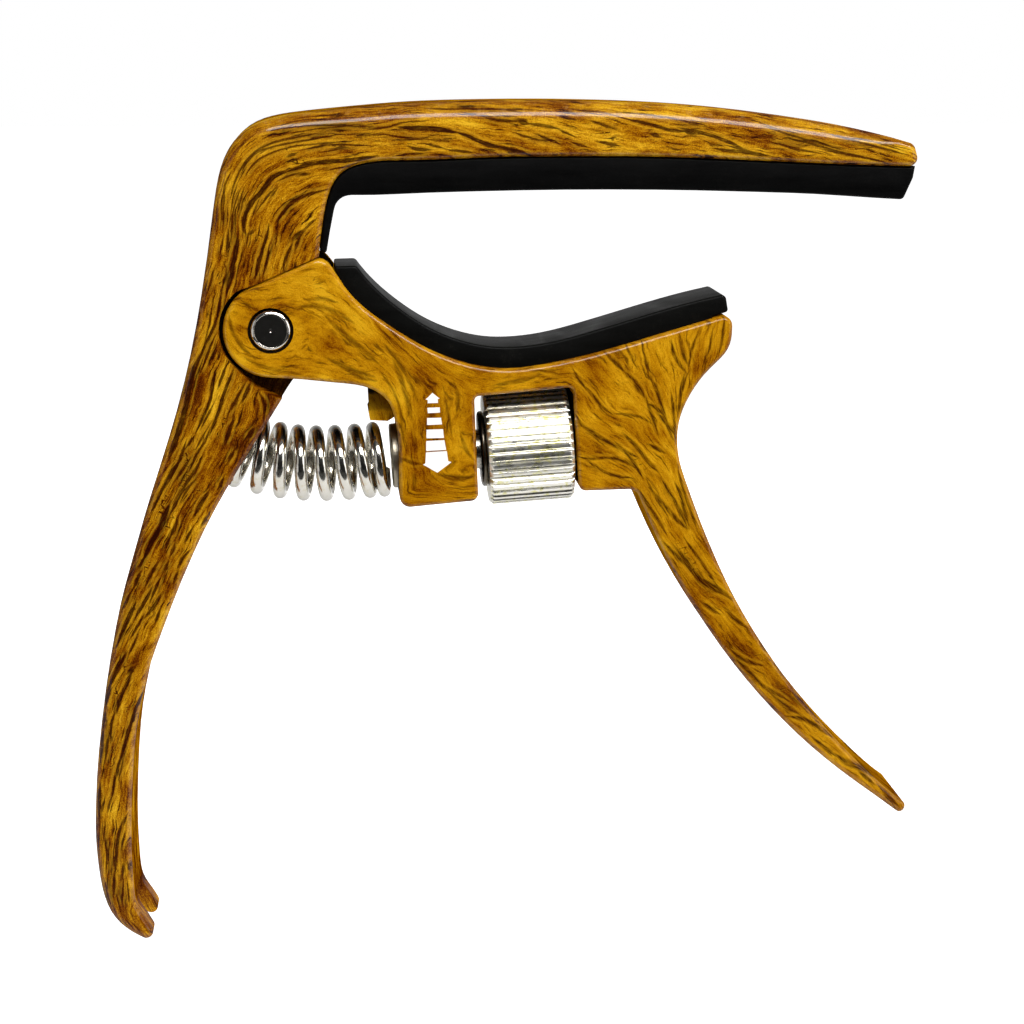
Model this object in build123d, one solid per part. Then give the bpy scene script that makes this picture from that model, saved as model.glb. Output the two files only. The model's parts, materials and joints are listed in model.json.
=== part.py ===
from build123d import *
from bisect import bisect_right
import math
import os

# Trigger capo: an upper arm and a lower jaw on a pivot pin, with rubber pads, a spring between the
# handles and a thumbwheel adjuster. Millimetres. +Z is up (away from the handles), +X runs along the
# string bar towards its nose, +Y towards the rear flank. Outlines are (x, z) points about the pivot
# pin's axis; at the end everything is moved so that the origin is the centre of the bounding box.

# ---- driving dimensions ----
# castings
CASTING_T = 10.4          # thickness, flank to flank
FLANK_Y = CASTING_T / 2
EDGE_R = 0.65             # rounded edges of the flanks
EAR_T = 2.3               # each ear of the lower jaw
EAR_R = 4.55              # round end of the ears
EAR_SLOPE = 23.3          # degrees, straight top edge of the ears
TONGUE_T = 5.2            # tongue of the upper arm between the ears
RECESS_R = 4.95           # recess in the arm around the ears
STOP_GAP = 0.06           # closed stop, ear's straight edge to the arm's shoulder
NOTCH_W = 5.2             # fork notch in the arm's handle
WEB_W = 5.2               # web of the lower jaw, left of the lug
# pivot
PIN_D = 4.04
PIN_RUN = 0.05            # radial running clearance around the pin
PIN_INSET = 0.05          # pin's ends below the flanks
PIN_SINK_R, PIN_SINK_DEPTH = 2.2, 0.4
PIN_EDGE_R = 0.3
MARK_R, MARK_TIP_R, MARK_H = 0.35, 0.01, 0.3   # conical marks in the pin's ends
PIVOT_WASHER_R = 3.9
PIVOT_WASHER_T = 0.28
PIVOT_WASHER_FREE = 0.01  # free space beside the tongue
# pads
PAD_W = 8.9               # across the object
PAD_EDGE_RADII = (0.3, 0.2)
GLUE = 0.02               # glue line
CHANNEL_W = 9.0           # shallow channel in the saddle
CHANNEL_DEPTH = 0.5
# adjuster: the screw's axis passes through the wheel's centre and rises to the right
WHEEL_CENTRE = (25.088, -12.231)
TILT = 3.8                # degrees
WHEEL_R = 5.6
WHEEL_W = 8.34
RIDGES = 42
RIDGE_H = 0.28
WHEEL_CHAMFER = 0.34
GROOVE_R_OUT, GROOVE_R_IN, GROOVE_CUT = 3.55, 2.55, 0.24   # ring grooves in the wheel's ends
SCREW_R = 1.95
SCREW_END = 8.6           # right end, along the axis from the wheel's centre
BORE_R = 2.0
BORE_END = 9.4
FLAT = 1.55               # from the axis to the screw's flat
FLAT_CLEARANCE = 0.05
WALL_AT = 4.46            # window's right wall, along the axis
DISC_R = 3.2              # spring seat disc
DISC_T = 0.95
DISC_LEFT_X = 11.52
SPIGOT_R = 1.2
WHEEL_WASHER_R, WHEEL_WASHER_BORE_R = 3.75, 2.06
WHEEL_GAP = 0.02          # wheel to each washer
THUMB_WASHER_T, THRUST_WASHER_T = 0.6, 0.25
# spring
WIRE_D = 1.25
COIL_R = 3.15             # mean coil radius
COILS_ACTIVE = 7.1
COILS_END = 1.0           # closed coils at each end
END_PITCH = WIRE_D * 1.03
START_ANGLE = -0.175 * 2 * math.pi
SEAT_LEFT = (-6.35, -10.95)   # centre of the spring's left seat
POCKET_R = 4.1
POCKET_LENGTH = 14
POCKET_AXIS = -27.5       # degrees in the XZ plane, pointing out of the handle
SEAT_GAP = 0.02
PULL_LEFT, PULL_RIGHT = 8.2, 5.7   # Bezier handles of the bowed centre line
RIGHT_DROP = 0.25         # spring's right end below the screw's axis
ARC_STEPS = 400
POINTS_PER_TURN = 14


# ---- helpers ----
def along(point, degrees, distance):
    """(x, z) point moved by a distance in a direction of the XZ plane."""
    a = math.radians(degrees)
    return (point[0] + distance * math.cos(a), point[1] + distance * math.sin(a))


def about_pivot(radius, degrees):
    return along((0, 0), degrees, radius)


def on_axis(distance, height):
    """Point at a distance along the screw's axis and a height above it."""
    return along(along(WHEEL_CENTRE, TILT, distance), TILT + 90, height)


def xz(point):
    return Vector(point[0], 0, point[1])


def spline(points, tangents=None):
    tangent_vectors = [xz(t) for t in tangents] if tangents else None
    return [Edge.make_spline([xz(p) for p in points], tangents=tangent_vectors)]


def arc(*points):
    return [Edge.make_three_point_arc(*[xz(p) for p in points])]


def lines(*points):
    return [Edge.make_line(xz(a), xz(b)) for a, b in zip(points[:-1], points[1:])]


def outline_face(edges, corners=()):
    """Closed face in the XZ plane, with (point, radius) corners rounded."""
    face = Face(Wire(edges))
    for point, radius in corners:
        found = [v for v in face.vertices() if (Vector(v.X, v.Y, v.Z) - xz(point)).length < 1e-3]
        assert len(found) == 1, (point, len(found))
        face = face.fillet_2d(radius, found)
    return face


def prism(face, y0, y1):
    """Solid from a face in the XZ plane, between two places in Y."""
    return Part(Solid.extrude(face.moved(Location((0, y0, 0))), Vector(0, y1 - y0, 0)).wrapped)


def slab(face, half):
    return prism(face, -half, half)


def polygon_slab(points, half):
    return slab(outline_face(lines(*points, points[0])), half)


def pivot_cylinder(radius, y0, y1):
    return Pos(0, (y0 + y1) / 2, 0) * Rot(90, 0, 0) * Cylinder(radius, y1 - y0)


def plane_at(centre, degrees):
    """Plane whose normal is a direction in the XZ plane and whose local X is +Y."""
    a = math.radians(degrees)
    return Plane(origin=xz(centre), x_dir=(0, 1, 0), z_dir=(math.cos(a), 0, math.sin(a)))


SCREW_PLANE = plane_at(WHEEL_CENTRE, TILT)


def rod(radius, start, end, plane=SCREW_PLANE):
    """Cylinder along a plane's normal."""
    return plane * (Pos(0, 0, (start + end) / 2) * Cylinder(radius, end - start))


def flat_cutter(distance):
    """Box that cuts a flat on the rear side of the screw's axis."""
    return SCREW_PLANE * (Pos(distance + 2, 0, -3) * Box(4, 10, 40))


def only_solid(shape):
    solids = shape.solids()
    assert len(solids) == 1, len(solids)
    return solids[0]


def edges_at(part, flank):
    """Edges whose centre lies at the distance flank from the middle plane, on either side."""
    return [e for e in part.edges() if abs(abs(e.center().Y) - flank) < 1e-4]


def round_edges(part, edges, radii, valid_only=True, required=False):
    """Fillet with the first radius that works; otherwise the part as it was."""
    for radius in radii:
        # guards against a radius that the kernel can't build on these edges
        try:
            rounded = fillet(edges, radius)
            if rounded.is_valid or not valid_only:
                return rounded
        except Exception:
            continue
    if required:
        raise SystemExit("no fillet")
    return part


def round_flanks(casting):
    radii = [EDGE_R * factor for factor in (1, 0.85, 0.7, 0.5)]
    return round_edges(casting, edges_at(casting, FLANK_Y), radii, required=True)


# ---- upper arm: (x, z) outlines ----
NOSE_TOP, NOSE_BOTTOM, HANDLE_TIP = (62.15, 17.45), (62.75, 15.36), (-12.1, -61.75)
# from the nose over the top and down the handle's left side
ARM_OUTER = [
    NOSE_TOP, (60.4, 17.98), (58.6, 18.45), (54.5, 19.34), (49.2, 20.18), (43.7, 20.85),
    (38.3, 21.3), (33.0, 21.55), (26.8, 21.68), (20.4, 21.65), (13.7, 21.45), (7.9, 21.0),
    (3.4, 20.55), (1.0, 20.2), (-1.1, 19.55), (-2.6, 18.5), (-3.7, 17.1), (-4.5, 15.2),
    (-5.05, 12.6), (-5.5, 9.6), (-6.1, 5.8), (-6.8, 1.9), (-7.65, -2.1), (-8.65, -6.0),
    (-9.8, -9.8), (-11.1, -13.7), (-12.4, -17.6), (-13.65, -21.7), (-14.8, -25.6),
    (-15.75, -29.7), (-16.55, -33.9), (-17.2, -38.1), (-17.75, -42.4), (-18.1, -46.7),
    (-18.2, -51.0), (-18.02, -53.6), (-17.65, -56.1), (-16.95, -58.1), (-15.95, -59.45),
    (-14.6, -60.5), HANDLE_TIP]
# underside of the string bar, left to right
BAR_UNDER = [(8.7, 15.75), (13.4, 16.1), (20.7, 16.34), (28.0, 16.42), (35.7, 16.38),
             (43.1, 16.12), (50.5, 15.78), (58.0, 15.45)]
# up the handle's right side and along the bar
ARM_INNER = [
    HANDLE_TIP, (-12.75, -60.35), (-13.5, -59.0), (-14.3, -57.6), (-14.65, -55.4),
    (-14.75, -51.5), (-14.6, -46.9), (-14.28, -42.5), (-13.82, -38.9), (-13.2, -35.9),
    (-12.4, -32.9), (-11.3, -29.9), (-9.8, -26.1), (-8.15, -22.3), (-6.3, -18.5),
    (-4.25, -14.9), (-2.05, -11.4), (-0.45, -8.9), (1.05, -6.5), (2.35, -4.6), (3.7, -2.9),
    (4.65, -0.9), (4.95, 1.5), (4.75, 4.2), (4.72, 6.9), (5.15, 10.4), (5.65, 12.7),
    (6.25, 14.1), (7.2, 15.1), *BAR_UNDER, NOSE_BOTTOM]
NOTCH = [(-24, -70), (-24, -58.2), (-17.0, -57.0), (-9, -56.4), (-9, -70)]


def ear_recess_face():
    """Round about the pivot, straight along the ear's top edge, sloped below."""
    stop_left = about_pivot(EAR_R + STOP_GAP, EAR_SLOPE + 90)
    stop_right = along(stop_left, EAR_SLOPE, 14)
    round_top, round_mid, round_low = (about_pivot(RECESS_R, a) for a in (128, 176, 225))
    edges = (lines(stop_right, stop_left, round_top)
             + arc(round_top, round_mid, round_low)
             + lines(round_low, (-1.5, -5.45), (0.6, -6.5), (3.0, -7.4), (12.0, -7.4), stop_right))
    return outline_face(edges, [(stop_left, 3.0), (round_top, 2.0), (round_low, 2.0)])


def make_upper_arm():
    edges = spline(ARM_OUTER) + spline(ARM_INNER) + lines(NOSE_BOTTOM, NOSE_TOP)
    corners = [(NOSE_TOP, 0.85), (NOSE_BOTTOM, 0.75), (HANDLE_TIP, 0.68)]
    arm = round_flanks(slab(outline_face(edges, corners), FLANK_Y))
    # recesses for the ears leave the tongue between them
    for y0, y1 in ((-FLANK_Y - 1, -TONGUE_T / 2), (TONGUE_T / 2, FLANK_Y + 1)):
        arm -= prism(ear_recess_face(), y0, y1)
    # softened rim of the recess
    rim = [e for e in edges_at(arm, FLANK_Y)
           if math.hypot(e.center().X, e.center().Z) < 8.2 and e.center().X > -5.2]
    arm = round_edges(arm, rim, (0.3, 0.2))
    arm -= pivot_cylinder(PIN_D / 2 + PIN_RUN, -FLANK_Y, FLANK_Y)
    # spring pocket in the handle
    arm -= rod(POCKET_R, 0, POCKET_LENGTH, plane_at(SEAT_LEFT, POCKET_AXIS))
    # fork notch in the handle's tip, for pulling bridge pins
    arm -= polygon_slab(NOTCH, NOTCH_W / 2)
    return only_solid(arm)


# ---- string pad: (x, z) outlines ----
LEG_TOP = (4.75 + GLUE, 7.35)
PAD_END_TOP, PAD_END_MID, PAD_END_LOW = (62.4, NOSE_BOTTOM[1] - GLUE), (62.22, 14.2), (61.3, 12.12)
# glued side, up the leg and along the bar
STRING_PAD_TOP = [
    LEG_TOP, (5.15 + GLUE, 10.4), (5.65 + GLUE, 12.69), (6.25 + GLUE, 14.1 - GLUE),
    (7.21, 15.1 - GLUE), *[(x, z - GLUE) for x, z in BAR_UNDER], PAD_END_TOP]
# string side, right to left and down the leg
STRING_PAD_UNDER = [
    PAD_END_LOW, (59.5, 12.22), (56.8, 12.4), (52.7, 12.68), (47.2, 12.9), (40.4, 13.1),
    (33.6, 13.2), (26.9, 13.2), (20.1, 13.1), (13.5, 12.92), (8.5, 12.8), (7.2, 12.66),
    (6.5, 12.1), (6.14, 11.0), (5.74, 9.0), (5.45, 7.35)]


def make_string_pad():
    leg_low = STRING_PAD_UNDER[-1]
    edges = (spline(STRING_PAD_TOP) + lines(PAD_END_TOP, PAD_END_MID, PAD_END_LOW)
             + spline(STRING_PAD_UNDER) + lines(leg_low, LEG_TOP))
    corners = [(PAD_END_LOW, 0.5), (PAD_END_MID, 1.0), (leg_low, 0.3), (LEG_TOP, 0.28)]
    pad = slab(outline_face(edges, corners), PAD_W / 2)
    pad = round_edges(pad, edges_at(pad, PAD_W / 2), PAD_EDGE_RADII, valid_only=False)
    return only_solid(pad)


# ---- lower jaw: (x, z) outlines ----
EAR_TOP_LEFT = about_pivot(EAR_R, EAR_SLOPE + 90)
EAR_TOP_RIGHT = along(EAR_TOP_LEFT, EAR_SLOPE, 7.25)
EAR_LOW_ANGLE = 265       # degrees, where the ears' round end meets the underside
EAR_LOW = about_pivot(EAR_R, EAR_LOW_ANGLE)
# saddle for the neck pad, left to right
SADDLE = [
    EAR_TOP_RIGHT, (5.9, 6.0), (7.2, 4.05), (8.9, 2.2), (11.6, 0.2), (14.5, -1.6), (17.7, -3.0),
    (20.7, -3.75), (23.2, -3.9), (25.6, -3.65), (29.8, -2.85), (35.9, -1.2), (40.9, 0.25),
    (43.0, 0.85), (44.72, 1.3)]
# down the jaw's right side
JAW_RIGHT = [
    SADDLE[-1], (44.68, 0.1), (44.62, -1.2), (44.2, -2.35), (43.2, -3.5), (41.85, -4.9),
    (40.6, -6.75), (39.7, -8.9), (39.45, -11.0), (39.7, -13.2), (40.4, -15.4), (41.5, -18.4),
    (42.8, -21.6), (45.4, -27.1), (48.6, -32.4), (52.1, -37.3), (56.0, -42.0), (60.1, -46.15),
    (62.0, -47.85), (63.55, -48.98)]
# up the handle's left side
JAW_TIP, BODY_CORNER = (62.77, -49.9), (35.45, -15.95)
JAW_LEFT = [
    JAW_TIP, (61.8, -49.15), (57.5, -45.95), (53.5, -42.65), (49.5, -38.7), (45.6, -34.1),
    (42.4, -29.6), (39.8, -25.3), (37.7, -21.2), (36.5, -18.5), BODY_CORNER]
# window for the thumbwheel, and the lug to its left
WALL_TOP, WALL_BOTTOM = on_axis(WALL_AT, 6.15), on_axis(WALL_AT, -4.14)
WINDOW_LEFT = (19.52, WALL_TOP[1] - 0.8)
LUG_RIGHT, LUG_LEFT = (19.92, -16.85), (12.25, -17.5)
# up the lug's left side and along the underside of the ears
LUG_SIDE = [
    LUG_LEFT, (12.2, -14.8), (12.2, -12.4), (12.1, -10.4), (11.75, -8.5), (11.15, -7.0),
    (10.2, -6.1), (9.0, -5.55), (7.4, -5.24), (5.4, -5.03), (3.0, -4.76), EAR_LOW]
EAR_SLOT = [(9.2, -5.9), (9.2, -4.2), (6.9, 0.8), (6.05, 3.6), (6.05, 12.0), (-12, 12),
            (-12, -20), (9.2, -20)]
WEB = [(9.28, -5.0), (9.42, -8.1), (9.3, -8.3), (9.45, -9.15), (11.2, -9.25), (11.9, -8.8),
       (12.6, -5.0)]
# floor of the channel: the saddle's middle points lowered, with its own ends
CHANNEL_FLOOR = [(7.1, 3.7), *[(x - 0.1, z - CHANNEL_DEPTH) for x, z in SADDLE[3:-2]], (42.8, 0.32)]
# distances along the screw's axis
DISC_LEFT = (DISC_LEFT_X - WHEEL_CENTRE[0]) / math.cos(math.radians(TILT))
DISC_RIGHT = DISC_LEFT + DISC_T


def make_lower_jaw():
    lug_tangents = ((-0.02, 1.0), about_pivot(1, EAR_LOW_ANGLE - 90))
    edges = (arc(EAR_LOW, about_pivot(EAR_R, 190), EAR_TOP_LEFT)
             + lines(EAR_TOP_LEFT, EAR_TOP_RIGHT)
             + spline(SADDLE) + spline(JAW_RIGHT)
             + lines(JAW_RIGHT[-1], JAW_TIP)
             + spline(JAW_LEFT)
             + lines(BODY_CORNER, WALL_BOTTOM, WALL_TOP, WINDOW_LEFT, LUG_RIGHT, LUG_LEFT)
             + spline(LUG_SIDE, lug_tangents))
    corners = [(EAR_TOP_RIGHT, 1.25), (SADDLE[-1], 0.95), (JAW_RIGHT[-1], 0.58), (JAW_TIP, 0.52),
               (BODY_CORNER, 1.2), (WALL_BOTTOM, 0.68), (WALL_TOP, 0.5), (WINDOW_LEFT, 0.5),
               (LUG_RIGHT, 0.75), (LUG_LEFT, 1.0)]
    jaw = round_flanks(slab(outline_face(edges, corners), FLANK_Y))
    # slot between the ears for the arm's tongue
    jaw -= polygon_slab(EAR_SLOT, FLANK_Y - EAR_T)
    jaw += polygon_slab(WEB, WEB_W / 2)
    # channel in the saddle
    channel = spline(CHANNEL_FLOOR) + lines(
        CHANNEL_FLOOR[-1], (42.8, 9), (6.15, 9), (6.15, 5.55), CHANNEL_FLOOR[0])
    jaw -= slab(outline_face(channel), CHANNEL_W / 2)
    # pin hole, sunk at both flanks
    jaw -= pivot_cylinder(PIN_D / 2, -FLANK_Y - 1, FLANK_Y + 1)
    sink_y = FLANK_Y - PIN_SINK_DEPTH
    for y0, y1 in ((-FLANK_Y - 1, -sink_y), (sink_y, FLANK_Y + 1)):
        jaw -= pivot_cylinder(PIN_SINK_R, y0, y1)
    # screw bore with its flat, blind at the right, and the sink for the seat disc
    jaw -= rod(BORE_R, -16, BORE_END) - flat_cutter(FLAT + FLAT_CLEARANCE)
    jaw -= rod(DISC_R + 0.25, -20, DISC_RIGHT + 0.02)
    return only_solid(jaw)


# ---- neck pad: (x, z) outlines ----
# underside in the channel, left to right
NECK_PAD_UNDER = [*[(x, z + GLUE) for x, z in CHANNEL_FLOOR[:-1]], (42.75, 0.32)]
# top, right to left
NECK_PAD_TOP = [
    (44.05, 3.1), (42.0, 2.66), (40.5, 2.3), (35.9, 1.02), (30.9, -0.45), (26.9, -1.45),
    (24.0, -1.82), (21.1, -1.78), (18.2, -1.15), (15.3, 0.05), (12.4, 1.95), (9.9, 4.15),
    (8.3, 6.1)]


def make_neck_pad():
    top_right, top_left = NECK_PAD_TOP[0], NECK_PAD_TOP[-1]
    edges = (spline(NECK_PAD_UNDER)
             + lines(NECK_PAD_UNDER[-1], (42.78, 0.9), (44.35, 1.38), top_right)
             + spline(NECK_PAD_TOP)
             + lines(top_left, (6.15, 6.05), (6.2, 5.68), NECK_PAD_UNDER[0]))
    face = outline_face(edges, [(top_right, 0.5), (top_left, 0.5)])
    return only_solid(slab(face, PAD_W / 2))


# ---- pivot pin and washers ----
def make_pivot_pin():
    end_y = FLANK_Y - PIN_INSET
    pin = pivot_cylinder(PIN_D / 2, -end_y, end_y)
    pin = fillet([e for e in pin.edges() if e.geom_type == GeomType.CIRCLE], PIN_EDGE_R)
    # conical mark in each end, wider inwards; the cones' own axis points to -Y
    for y, bottom_r, top_r in ((-end_y, MARK_R, MARK_TIP_R), (end_y, MARK_TIP_R, MARK_R)):
        pin -= Pos(0, y, 0) * Rot(90, 0, 0) * Cone(bottom_r, top_r, MARK_H)
    return only_solid(pin)


def make_pivot_washer(y0):
    ring = pivot_cylinder(PIVOT_WASHER_R, 0, PIVOT_WASHER_T)
    ring -= pivot_cylinder(PIN_D / 2 + PIN_RUN, -1, 1)
    return only_solid(Pos(0, y0, 0) * ring)


# ---- adjuster ----
def make_thumbwheel():
    step = 2 * math.pi / RIDGES
    valley_r = WHEEL_R - RIDGE_H
    # one ridge: (fraction of the step, radius)
    profile = ((0.0, WHEEL_R), (0.55, WHEEL_R), (0.70, valley_r), (0.85, valley_r))
    points = []
    for i in range(RIDGES):
        for fraction, radius in profile:
            angle = (i + fraction) * step
            points.append((radius * math.cos(angle), radius * math.sin(angle)))
    wheel = extrude(make_face(Polyline(*points, close=True)), WHEEL_W / 2, both=True)
    # chamfered envelope
    envelope = Cylinder(WHEEL_R + 0.02, WHEEL_W)
    rims = [e for e in envelope.edges() if e.geom_type == GeomType.CIRCLE]
    wheel = wheel & chamfer(rims, WHEEL_CHAMFER)
    wheel -= Cylinder(BORE_R, WHEEL_W + 2)
    for side in (-1, 1):
        groove = Cylinder(GROOVE_R_OUT, GROOVE_CUT) - Cylinder(GROOVE_R_IN, 0.3)
        wheel -= Pos(0, 0, side * WHEEL_W / 2) * groove
    return only_solid(SCREW_PLANE * wheel)


def make_wheel_washer(start, thickness):
    ring = rod(WHEEL_WASHER_R, start, start + thickness)
    return only_solid(ring - rod(WHEEL_WASHER_BORE_R, -9, 9))


def make_adjusting_screw():
    screw = rod(SCREW_R, DISC_RIGHT, SCREW_END)
    screw -= flat_cutter(FLAT)
    # spigot that carries the seat disc
    screw += rod(SPIGOT_R, DISC_LEFT + 0.02, DISC_RIGHT + 0.1)
    return only_solid(screw)


def make_spring_seat_disc():
    disc = rod(DISC_R, DISC_LEFT, DISC_RIGHT - 0.01)
    return only_solid(disc - rod(SPIGOT_R, DISC_LEFT - 1, DISC_LEFT + 2))


# ---- spring: round wire, closed ends, bowed centre line ----
SPRING_START = along(SEAT_LEFT, POCKET_AXIS, SEAT_GAP)
SPRING_END = along(on_axis(DISC_LEFT, -RIGHT_DROP), TILT, -SEAT_GAP)
CONTROL_POINTS = (SPRING_START, along(SPRING_START, POCKET_AXIS, PULL_LEFT),
                  along(SPRING_END, TILT, -PULL_RIGHT), SPRING_END)


def centre_line(t):
    """Point, unit tangent and speed of the cubic Bezier centre line at t from 0 to 1."""
    weights = ((1 - t) ** 3, 3 * t * (1 - t) ** 2, 3 * t * t * (1 - t), t ** 3)
    slopes = (3 * (1 - t) ** 2, 6 * t * (1 - t), 3 * t * t)
    legs = [(b[0] - a[0], b[1] - a[1]) for a, b in zip(CONTROL_POINTS[:-1], CONTROL_POINTS[1:])]
    point = [sum(w * p[k] for w, p in zip(weights, CONTROL_POINTS)) for k in (0, 1)]
    rate = [sum(s * leg[k] for s, leg in zip(slopes, legs)) for k in (0, 1)]
    speed = math.hypot(*rate)
    return point, (rate[0] / speed, rate[1] / speed), speed


def make_spring():
    # table of arc length against t, to space the coils evenly
    lengths = [0.0]
    for i in range(ARC_STEPS):
        lengths.append(lengths[-1] + centre_line((i + 0.5) / ARC_STEPS)[2] / ARC_STEPS)

    def t_at(distance):
        i = bisect_right(lengths, distance) - 1
        return (i + (distance - lengths[i]) / (lengths[i + 1] - lengths[i])) / ARC_STEPS

    turns = COILS_ACTIVE + 2 * COILS_END
    pitch = (lengths[-1] - WIRE_D - 2 * COILS_END * END_PITCH) / COILS_ACTIVE

    def distance_at(turn):
        """Distance along the centre line, with turns counted from the left end."""
        turn = min(max(turn, 0), turns)
        active = min(max(turn - COILS_END, 0), COILS_ACTIVE)
        return WIRE_D / 2 + (turn - active) * END_PITCH + active * pitch

    points = []
    last = int(round(turns * POINTS_PER_TURN))
    for i in range(last + 1):
        turn = i * turns / last
        # averaged to smooth the change of pitch
        distance = sum(distance_at(turn + k * 0.1) for k in (-2, -1, 0, 1, 2)) / 5
        (x, z), (tangent_x, tangent_z), _ = centre_line(t_at(distance))
        angle = 2 * math.pi * turn + START_ANGLE
        # right-handed helix from +Y towards tangent x (+Y) = (-tangent_z, 0, tangent_x)
        offset = COIL_R * math.sin(angle)
        points.append(Vector(x - offset * tangent_z, COIL_R * math.cos(angle),
                             z + offset * tangent_x))
    wire_path = Edge.make_spline(points)
    section = Plane(origin=wire_path @ 0, z_dir=wire_path % 0) * Circle(WIRE_D / 2)
    return only_solid(sweep(section, path=Wire([wire_path]), is_frenet=True))


# ---- build, centre and write ----
WASHER_Y = TONGUE_T / 2 + PIVOT_WASHER_FREE
WASHER_AT = WHEEL_W / 2 + WHEEL_GAP
PIECES = {
    "upper_arm": make_upper_arm(),
    "string_pad": make_string_pad(),
    "lower_jaw": make_lower_jaw(),
    "neck_pad": make_neck_pad(),
    "pivot_pin": make_pivot_pin(),
    "pivot_washer_front": make_pivot_washer(-WASHER_Y - PIVOT_WASHER_T),
    "pivot_washer_rear": make_pivot_washer(WASHER_Y),
    "spring": make_spring(),
    "spring_seat_disc": make_spring_seat_disc(),
    "adjusting_screw": make_adjusting_screw(),
    "thumbwheel": make_thumbwheel(),
    "thumb_washer": make_wheel_washer(-WASHER_AT - THUMB_WASHER_T, THUMB_WASHER_T),
    "thrust_washer": make_wheel_washer(WASHER_AT, THRUST_WASHER_T),
}
boxes = [solid.bounding_box(optimal=True) for solid in PIECES.values()]


def centring_shift(axis):
    low = min(getattr(box.min, axis) for box in boxes)
    high = max(getattr(box.max, axis) for box in boxes)
    return round(-(low + high) / 2, 3)


shift = Location((centring_shift("X"), 0.0, centring_shift("Z")))
os.makedirs("parts", exist_ok=True)
for name, solid in PIECES.items():
    placed = solid.moved(shift)
    placed.label = name
    export_step(placed, f"parts/{name}.step")
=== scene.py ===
import bpy, bmesh, json, math
import numpy as np
from mathutils import Vector, Matrix


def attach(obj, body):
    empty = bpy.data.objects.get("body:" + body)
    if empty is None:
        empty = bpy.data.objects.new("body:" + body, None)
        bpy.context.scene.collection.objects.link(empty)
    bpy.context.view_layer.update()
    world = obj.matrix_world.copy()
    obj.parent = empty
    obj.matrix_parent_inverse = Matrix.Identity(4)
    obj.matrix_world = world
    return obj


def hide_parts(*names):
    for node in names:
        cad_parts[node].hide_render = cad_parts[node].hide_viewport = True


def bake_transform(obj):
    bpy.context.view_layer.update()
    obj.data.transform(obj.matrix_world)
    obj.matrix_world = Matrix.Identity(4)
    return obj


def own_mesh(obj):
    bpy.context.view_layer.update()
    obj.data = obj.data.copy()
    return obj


# Trigger capo, looks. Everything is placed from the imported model; drawing numbers are millimetres about the
# pivot pin's axis (x along the bar, z up), moved to the row frame by P() and by PX, PZ.

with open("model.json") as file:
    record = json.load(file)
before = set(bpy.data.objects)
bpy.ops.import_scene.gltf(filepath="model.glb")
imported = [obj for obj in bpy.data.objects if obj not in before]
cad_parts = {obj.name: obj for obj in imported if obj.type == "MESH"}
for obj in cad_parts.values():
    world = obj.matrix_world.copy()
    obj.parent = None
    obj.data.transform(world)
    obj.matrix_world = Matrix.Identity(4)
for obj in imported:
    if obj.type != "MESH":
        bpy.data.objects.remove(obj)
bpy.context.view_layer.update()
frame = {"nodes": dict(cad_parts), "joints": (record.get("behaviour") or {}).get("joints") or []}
NODES = frame["nodes"]
MM = 0.001
JOINTS = {j["name"]: j for j in frame["joints"]}
PX, PZ = (JOINTS["jaw_pivot"]["pos_m"][0] / MM, JOINTS["jaw_pivot"]["pos_m"][2] / MM)
H = 5.2                                # half thickness of both castings
scene = bpy.context.scene
scene.view_settings.view_transform = "Standard"
scene.view_settings.look = "None"


def P(x, z, y=0.0):
    """Row-frame point in metres from pivot-centred millimetres."""
    return Vector(((x + PX) * MM, y * MM, (z + PZ) * MM))


def rows(pts):
    """Array of row-frame metres from an (n, 3) array of pivot-centred millimetres."""
    a = np.asarray(pts, float)
    return np.stack([(a[:, 0] + PX) * MM, a[:, 1] * MM, (a[:, 2] + PZ) * MM], 1)


def local(co):
    """Pivot-centred millimetres from row-frame metres."""
    return np.stack([co[:, 0] / MM - PX, co[:, 1] / MM, co[:, 2] / MM - PZ], 1)


def srgb(r, g, b):
    f = lambda c: (c / 255) / 12.92 if c <= 10 else ((c / 255 + 0.055) / 1.055) ** 2.4
    return (f(r), f(g), f(b), 1.0)


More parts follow.
